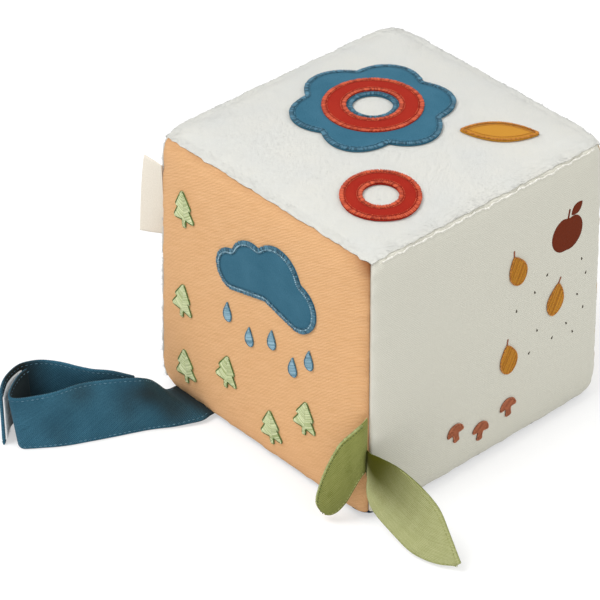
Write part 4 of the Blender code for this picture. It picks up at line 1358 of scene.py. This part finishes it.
def slabPiece(name, surface, cells, offsets, finish, shade=None):
    # a closed double-walled cloth on a curved sheet; offsets gives its two sides, from the middle
    columns, rows = cells
    spots, quads, shades = [], [], []
    for side in (0, 1):
        for j in range(rows + 1):
            for i in range(columns + 1):
                across, up = edgeSpacing(2 * i / columns - 1), edgeSpacing(2 * j / rows - 1)
                spot, normal = surfaceSpot(surface, across, up)
                spots.append(spot + normal * offsets(across, up)[side])
                shades.append(shade(across, up, side) if shade else 0.0)
    step = (rows + 1) * (columns + 1)
    sheet = np.array([tuple(spot) for spot in spots[:step]]).reshape(rows + 1, columns + 1, 3)
    runAcross, runUp = np.zeros((2, rows + 1, columns + 1))
    runAcross[:, 1:] = np.cumsum(np.linalg.norm(np.diff(sheet, axis=1), axis=2), axis=1)
    runUp[1:] = np.cumsum(np.linalg.norm(np.diff(sheet, axis=0), axis=2), axis=0)
    flats = np.tile(np.column_stack((runAcross.ravel(), runUp.ravel())), (2, 1))

    def number(side, j, i):
        return side * step + j * (columns + 1) + i

    for j in range(rows):
        for i in range(columns):
            ring = [(j, i), (j, i + 1), (j + 1, i + 1), (j + 1, i)]
            quads.append([number(0, *k) for k in ring[::-1]])
            quads.append([number(1, *k) for k in ring])
    border = [(0, i) for i in range(columns)] + [(j, columns) for j in range(rows)]
    border += [(rows, i) for i in range(columns, 0, -1)] + [(j, 0) for j in range(rows, 0, -1)]
    for first, second in zip(border, border[1:] + border[:1]):
        quads.append([number(0, *first), number(0, *second), number(1, *second),
                      number(1, *first)])
    mesh = newMesh(name, spots, quads)
    giveUv(mesh, flats)
    # the painted shade from the piece's shade function
    giveNumbers(mesh, "seamShade", shades)
    build = bmesh.new()
    build.from_mesh(mesh)
    bmesh.ops.recalc_face_normals(build, faces=build.faces)
    build.to_mesh(mesh)
    build.free()
    mesh.shade_smooth()
    mesh.materials.append(finishes[finish])
    cellSides = np.diff(sheet, axis=1)[:-1], np.diff(sheet, axis=0)[:, :-1]
    area = float(np.linalg.norm(np.cross(*cellSides), axis=2).sum())
    return linkUp(name, mesh), (float(runAcross.max()), float(runUp.max())), area


def edgeProfile(surface, across, up, width):
    # 0 at a sheet's free edges, rising to 1 over a width, by the true distance from them
    here = surface(across, up)
    toTop = (surface(across, 1) - here).length
    toFoot = (surface(across, -1) - here).length
    toTip = (surface(1, up) - here).length
    near = min(toTop, toFoot, toTip) / width
    return math.sin(min(near, 1.0) * math.pi / 2)


def edgePath(surface, ups, inset, offset, start=-1.0, count=90):
    # a guide for stitches a little way in from one edge of a sheet, and round no corner
    spots, outs = [], []
    for k in range(count + 1):
        across = mix(start, 0.985, k / count)
        half = (surface(across, 1) - surface(across, -1)).length / 2
        up = ups * max(1 - inset / max(half, 1e-6), 0.0)
        spot, normal = surfaceSpot(surface, across, up)
        sign = 1 if offset > 0 else -1
        spots.append(spot + normal * offset)
        outs.append(normal * sign)
    return spots, outs


def sewRow(name, paths, finish, look, seed):
    spots, edges, outs = [], [], []
    for some, ways in paths:
        edges += [(len(spots) + k, len(spots) + k + 1) for k in range(len(some) - 1)]
        spots += some
        outs += ways
    return stitches(name, guideMesh(spots, edges, outs), finish, look, seed)


dashRun = rowLook(1.7, 1.2, 0.42, 0.28, 0.05)
rimRun = rowLook(0.6, 0.85, 1.3, 0.3, 0.12)
cordRun = rowLook(0.6, 0.8, 0.36, 0.24, 0.1)
strapRun = rowLook(2.0, 1.15, 0.3, 0.22, 0.06)
upperEdge = ((1, -0.9),)
bothEdges = ((1, -0.9), (-1, -0.9))


def leafSurface(leaf):
    apart = leafLook["ply"] + (leafLook["gap"] + leafLook["rootGap"]) / 2
    hinge = leafRidge + heading(-45.0) * leafLook["standOff"] + heading(45.0) * leaf["side"] * apart
    out = heading(leaf["heading"])
    aside = out.cross(Vector((0, 0, 1)))
    upper, lower = ([Vector((x * leaf["reach"], y * leaf["rise"])) for x, y in leaf[edge]]
                    for edge in ("upper", "lower"))
    sways = [Vector((value * leaf["sway"], 0)) for value in leaf["sways"]]
    inward = (leafRidge - heading(-45.0) * leafLook["into"] - hinge).normalized()

    def surface(across, up):
        share = (across + 1) / 2
        spot = mix(smoothPath(lower, share), smoothPath(upper, share), (up + 1) / 2)
        drift = smoothPath(sways, share).x * (1 - up) / 2
        drift += leaf["cup"] * (1 - up ** 2) * math.sin(math.pi * share)
        drift += leafLook["ripple"] * math.sin(7.0 * share + 2.1 * up) * share
        root = max(0.0, 1 - share / 0.045)
        point = hinge + Vector((0.0, 0.0, spot.y))
        point += out * (spot.x + leafLook["rootGap"]) + aside * drift
        point -= heading(45.0) * (leaf["side"] * leafLook["toSeam"] * max(0.0, 1 - share / 0.3))
        return point + (inward * leafLook["seamDepth"]) * root ** 2

    return surface, hinge, out


def makeLeaf(name, leaf, body, fronts, backs, shade, threads):
    surface, hinge, out = leafSurface(leaf)
    before, beyond = leafLook["bend"]
    start, end = hinge - out * before, hinge + out * beyond
    made = []
    for ply, finish, slot, low, high in (("Front", *fronts, -1, 0), ("Back", *backs, 0, 1)):
        def offsets(across, up, low=low, high=high):
            edge = edgeProfile(surface, across, up, leafLook["round"])
            full = mix(leafLook["rim"], leafLook["half"], edge)
            full *= mix(0.35, 1.0, min((across + 1) / 0.2, 1.0))
            thin = leafLook["thin"]
            return (low * full + high * thin, high * full + low * thin)
        piece, size, area = slabPiece(name + ply, surface, leafLook["cells"], offsets, finish,
                                      shade)
        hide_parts("%s_%s_ply" % (body, ply.lower()))
        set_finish(piece, slot)
        made.append((piece, size, area))
    rows = []
    for side, sign, thread, look, depth, lift, edges in threads:
        lift *= sign * leafLook["half"]
        paths = [edgePath(surface, ups, depth, lift, first) for ups, first in edges]
        rows.append(sewRow("%s%sStitches%d" % (name, side, len(rows)), paths, thread, look,
                           111 + len(rows)))
    for piece, size, area in made:
        flat = (max(size), max(min(size), area / max(size)))
        min(area, flat[0] * flat[1])
    for piece in [item[0] for item in made] + rows:
        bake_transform(piece)
        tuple(start)
        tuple(end)


# painted shade: a little darker toward the tip, more on the lower half, and a dark painted slit of
# shadow at the low end of the root
def leftShade(across, up, side):
    share = (across + 1) / 2
    slit = max(0.0, 1 - share / 0.06) * min(max((0.1 - up) / 0.3, 0.0), 1.0)
    return max(0.15 * share + 0.15 * max(0.0, -up) * share, slit)


# painted shade: dark at the root and over the upper part, fading toward the tip, the low lobe left
# pale, and a dark painted slit of shadow along the root
def rightShade(across, up, side):
    share = (across + 1) / 2
    low = min(max((up + 0.62) / 0.9, 0.0), 1.0)
    slit = max(0.0, 1 - share / 0.03)
    return max(1.02 / (1 + (share / 0.44) ** 4) * low, slit)


# the Edge rows are pale cords along the leaves' rolled edges, standing for the rolled edge and for
# a painted highlight where light catches its fuzz
makeLeaf("leftLeaf", leftLeaf, "leaf_left", ("oliveLinen", "olive_cotton"),
         ("paleLinen", "pale_olive_cotton"), leftShade,
         [("Front", -1, "duskThread", dashRun, 1.75 * mm, 1.06, upperEdge),
          ("Front", -1, "leafThread", dashRun, 1.5 * mm, 1.0, ((-1, -0.9),)),
          ("Edge", -1, "rimThread", rimRun, 0.72 * mm, 0.76, upperEdge),
          ("Back", 1, "leafThread", dashRun, 1.5 * mm, 1.0, bothEdges)])
makeLeaf("rightLeaf", rightLeaf, "leaf_right", ("oliveLinen", "olive_cotton"),
         ("paleLinen", "pale_olive_cotton"), rightShade,
         [("Front", -1, "duskThread", dashRun, 1.5 * mm, 1.0, bothEdges),
          ("Edge", 1, "leafThread", cordRun, 0.15 * mm, 0.5, ((1, -0.3),)),
          ("Back", 1, "leafThread", dashRun, 1.5 * mm, 1.0, ((1, 0.1), (-1, -0.3)))])


def makeTag():
    look = tagLook

    def surface(across, up):
        share = (up + 1) / 2
        way = heading(mix(look["bottomHeading"], look["topHeading"], share))
        level = look["top"] - look["height"] * (1 - share)
        out = mix(-look["seamDepth"], look["reach"], (across + 1) / 2)
        ripple = way.cross(Vector((0, 0, 1))) * look["ripple"]
        ripple *= math.sin(5 * share + 1.3 * across)
        base = Vector((look["hinge"].x, look["hinge"].y, level))
        return base + way * out + ripple * max(across, 0.0)

    def offsets(across, up):
        fold = math.sqrt(max(0.02, 1 - max(0.0, (across - 0.86) / 0.14) ** 2))
        half = look["half"] * fold * mix(0.5, 1.0, min((across + 1) / 1.0, 1.0))
        half *= mix(0.55, 1.0, min((1 - abs(up)) / 0.03, 1.0))
        return (-half, half)

    piece, size = slabPiece("tag", surface, (16, 30), offsets, "wovenTag")[:2]
    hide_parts("woven_tag")
    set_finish(piece, "woven_tag")
    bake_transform(piece)


makeTag()
print("leaves and tag made")

# The strap: a near half and a far half of stitched denim, with hook-and-loop tape at its
# end

strapLook = {"width": 26.0 * mm, "cloth": 1.5 * mm, "floorGap": 0.25 * mm, "reach": 70.5 * mm,
             "root": Vector((-41.0 * mm, -65.58 * mm, 2.7 * mm)), "rootShare": 0.92,
             "seamDepth": 2.4 * mm, "layerGap": 0.3 * mm, "farStart": 0.2625,
             "hook": 0.9 * mm, "loop": 1.2 * mm, "cover": (0.2, 0.3), "longSide": 0.58,
             "margin": 2.5 * mm, "inset": 1.25 * mm, "cells": (110, 22),
             "edge": 0.9 * mm, "rim": 0.3 * mm, "groove": 0.22 * mm, "grooveWidth": 0.45 * mm,
             "rootBend": (1.3 * mm, 6.0 * mm), "farBend": (0.2 * mm, 3.0 * mm),
             "rowSink": 0.1 * mm, "rowStart": {"Near": -0.94, "Far": -0.97}, "rowCount": 160}
nearFloor = ((0.067, -0.165), (0.193, -0.094), (0.308, -0.010), (0.424, 0.041), (0.603, 0.122),
             (0.777, 0.207), (0.918, 0.305), (0.963, 0.350), (0.938, 0.402), (0.868, 0.466),
             (0.797, 0.502), (0.757, 0.509))
nearFall = (0.30, 0.75) + (1.0,) * 10
nearUpper = ((0.11, 0.112), (0.235, 0.068), (0.359, 0.034), (0.475, 0.120), (0.63, 0.208),
             (0.80, 0.250), (0.950, 0.318), (1.003, 0.370), (0.970, 0.422), (0.887, 0.481),
             (0.814, 0.515), (0.772, 0.521))
nearRise = (0.24, 0.70) + (1.0,) * 10
farBow = ((0.426, 0.180), (0.496, 0.264), (0.547, 0.354), (0.591, 0.445), (0.662, 0.532),
          (0.752, 0.580), (0.830, 0.575), (0.921, 0.534))
farEnd = ((1.022, 0.441), (1.021, 0.446))


def strapPoint(out, aside, level):
    root, reach = strapLook["root"], strapLook["reach"]
    return Vector((root.x - aside * reach, root.y - out * reach, level))


def nearEdges(share):
    look = strapLook
    root, half = look["root"], Vector((look["width"] * look["rootShare"] / 2, 0.0, 0.0))
    floor, upper = [root + half], [root - half]
    for pair, fall in zip(nearFloor, nearFall):
        floor.append(strapPoint(*pair, mix(root.z, look["floorGap"], fall)))
    for pair, rise in zip(nearUpper, nearRise):
        upper.append(strapPoint(*pair, mix(root.z, look["floorGap"] + look["width"], rise)))
    return smoothPath(floor, share), smoothPath(upper, share)


def nearSurface(across, up):
    share = (across + 1) / 2
    low, high = nearEdges(share)
    into = max(0.0, 1 - share / 0.0175) ** 2 * strapLook["seamDepth"]
    spot = mix(low, high, (1 + up) / 2)
    return spot + Vector((0.0, into, 0.0))


def besideNear(share, standOff):
    low, high = nearEdges(share)
    lowBefore, highBefore = nearEdges(share - 0.0117)
    way = low + high - lowBefore - highBefore
    way.z = 0.0
    way.normalize()
    step = Vector((way.y, -way.x, 0.0)) * standOff
    return low + step, high + step


def farEdges(share):
    look = strapLook
    starts = besideNear(look["farStart"], look["cloth"] + look["layerGap"])
    ends = [strapPoint(*pair, 0.0) for pair in farEnd]
    edges = []
    levels = look["floorGap"], look["floorGap"] + look["width"]
    for start, end, level in zip(starts, ends, levels):
        edge = smoothPath([start] + [strapPoint(*pair, 0.0) for pair in farBow] + [end], share)
        edge.z = level
        edges.append(edge)
    return edges


def farSurface(across, up):
    low, high = farEdges((across + 1) / 2)
    return mix(low, high, (1 + up) / 2)


def strapOffsets(surface, seed, limp):
    look = strapLook

    def offsets(across, up):
        half = look["cloth"] / 2
        edge = edgeProfile(surface, across, up, look["edge"])
        fromEdge = (1 - abs(up)) * look["width"] / 2
        groove = math.exp(-((fromEdge - look["inset"]) / look["grooveWidth"]) ** 2)
        full = mix(look["rim"], half, edge) - groove * look["groove"]
        share = (across + 1) / 2 / (look["longSide"] if surface is nearSurface else 1.0)
        calm = min(share / 0.15, 1.0) * max(min((1.02 - share) / 0.1, 1.0), 0.0)
        calm *= 1 - abs(up) ** 3 * 0.6
        fold = math.sin(17.0 * share + 2.2 * up + seed) + 0.6 * math.sin(31.0 * share - 3.1 * up)
        ripple = math.sin(64.0 * share + 4.0 * up + 2.0 * seed) * 0.35
        move = limp * calm * (fold + ripple)
        return (move - full, move + full)

    return offsets


# painted fold shadows on the strap: place along it, level across it, length, height and depth of
# each
strapFoldShadows = ((0.17, 0.3, 0.13, 1.6, 0.62), (0.41, 0.4, 0.13, 0.5, 0.72),
              (0.29, -0.4, 0.08, 0.6, 0.4), (0.73, 0.75, 0.06, 0.45, 0.5),
              (0.55, -0.2, 0.06, 0.6, 0.3), (0.88, -0.6, 0.05, 0.5, 0.2))


def strapShade(across, up, side):
    # painted shade: dark where the strap goes in under the block, painted fold shadows after that,
    # and darker on its inner side
    share = min((across + 1) / 2 / strapLook["longSide"], 1.0)
    root = min(max(1 - share / 0.14, 0.0), 1.0)
    foldShadows = 0.0
    for place, level, long, tall, deep in strapFoldShadows:
        foldShadows += deep * math.exp(-((share - place) / long) ** 2 - ((up - level) / tall) ** 2)
    inside = (0.4 + 0.5 * share) * side
    return min(0.9 * root + foldShadows + inside, 1.0)


def farShade(across, up, side):
    # painted shade: dark inside the bow, where the far half turns back to the near one, and near
    # its start beside the near half
    share = (across + 1) / 2
    turn = min(max((share - 0.48) / 0.2, 0.0), 1.0) * min(max((1.0 - share) / 0.12, 0.0), 1.0)
    start = min(max(1 - share / 0.3, 0.0), 1.0)
    return min((turn if side == 0 else 0.2 * turn) + 0.6 * start, 1.0)


def tapePiece(name, surface, near, far, node, fuzz, cover, seed):
    side = -surfaceSpot(surface, 0.8, 0.0)[1]
    look = strapLook
    trim = 1 - 2 * look["margin"] / look["width"]
    first = 1 - 2 * cover

    def taped(across, up):
        return surface(mix(first, 0.995, (across + 1) / 2), up * trim)

    def offsets(across, up):
        edge = min((1 - abs(up)) / 0.05, (1 - abs(across)) / 0.05, 1.0)
        return (near, near + (far - near) * mix(0.6, 1.0, edge))

    piece, size = slabPiece(name, taped, (26, 16), offsets, "whiteTape")[:2]
    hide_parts(node)
    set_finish(piece, "white_tape")
    facing = bmesh.new()
    facing.from_mesh(piece.data)
    other = [face for face in facing.faces if face.normal.dot(side) < 0.55]
    bmesh.ops.delete(facing, geom=other, context="FACES")
    guide = bpy.data.meshes.new(name + "Face")
    facing.to_mesh(guide)
    facing.free()
    nap = growFibres(name + "Nap", guide, fuzz, "tapeFuzz", Comb=(0.0, 0.0, 0.0), Seed=seed)
    return piece, nap


def makeStrap():
    look = strapLook
    near, nearSize = slabPiece("strapNear", nearSurface, look["cells"],
                               strapOffsets(nearSurface, 0.4, 0.16 * mm), "denimTwill",
                               strapShade)[:2]
    far, farSize = slabPiece("strapFar", farSurface, look["cells"],
                             strapOffsets(farSurface, 2.3, 0.14 * mm), "denimTwill",
                             farShade)[:2]
    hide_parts("strap_near")
    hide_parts("strap_far")
    rows = {}
    for name, surface in (("Near", nearSurface), ("Far", farSurface)):
        height = look["cloth"] / 2 - look["rowSink"]
        paths = [edgePath(surface, ups, look["inset"], side * height, look["rowStart"][name],
                          look["rowCount"]) for ups in (1, -1) for side in (1, -1)]
        rows[name] = sewRow("strap%sStitches" % name, paths, "denimThread", strapRun, 121)
    for piece, size, row in ((near, nearSize, rows["Near"]), (far, farSize, rows["Far"])):
        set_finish(piece, "denim_strap")
        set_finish(row, "denim_strap")
    seat = look["cloth"] / 2 + look["layerGap"] / 2
    hook = tapePiece("hookTape", nearSurface, -seat, -seat - look["hook"] + 0.4 * mm, "hook_tape",
                     {"density": 2.6e6, "length": 0.6 * mm, "width": 0.2 * mm, "lean": 0.25},
                     look["cover"][0], 131)
    loop = tapePiece("loopTape", farSurface, -seat, -seat - look["loop"] + 0.5 * mm, "loop_tape",
                     {"density": 4.0e6, "length": 1.0 * mm, "width": 0.16 * mm, "lean": 1.3},
                     look["cover"][1], 132)
    for piece in (near, rows["Near"]):
        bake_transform(piece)
    low, high = farEdges(0.0)
    later = farEdges(0.06)
    for piece in (far, rows["Far"]):
        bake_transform(piece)
    for pieces, body in ((hook, "strap_near_half"), (loop, "strap_far_half")):
        for piece in pieces:
            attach(piece, body)


makeStrap()
print("strap made")
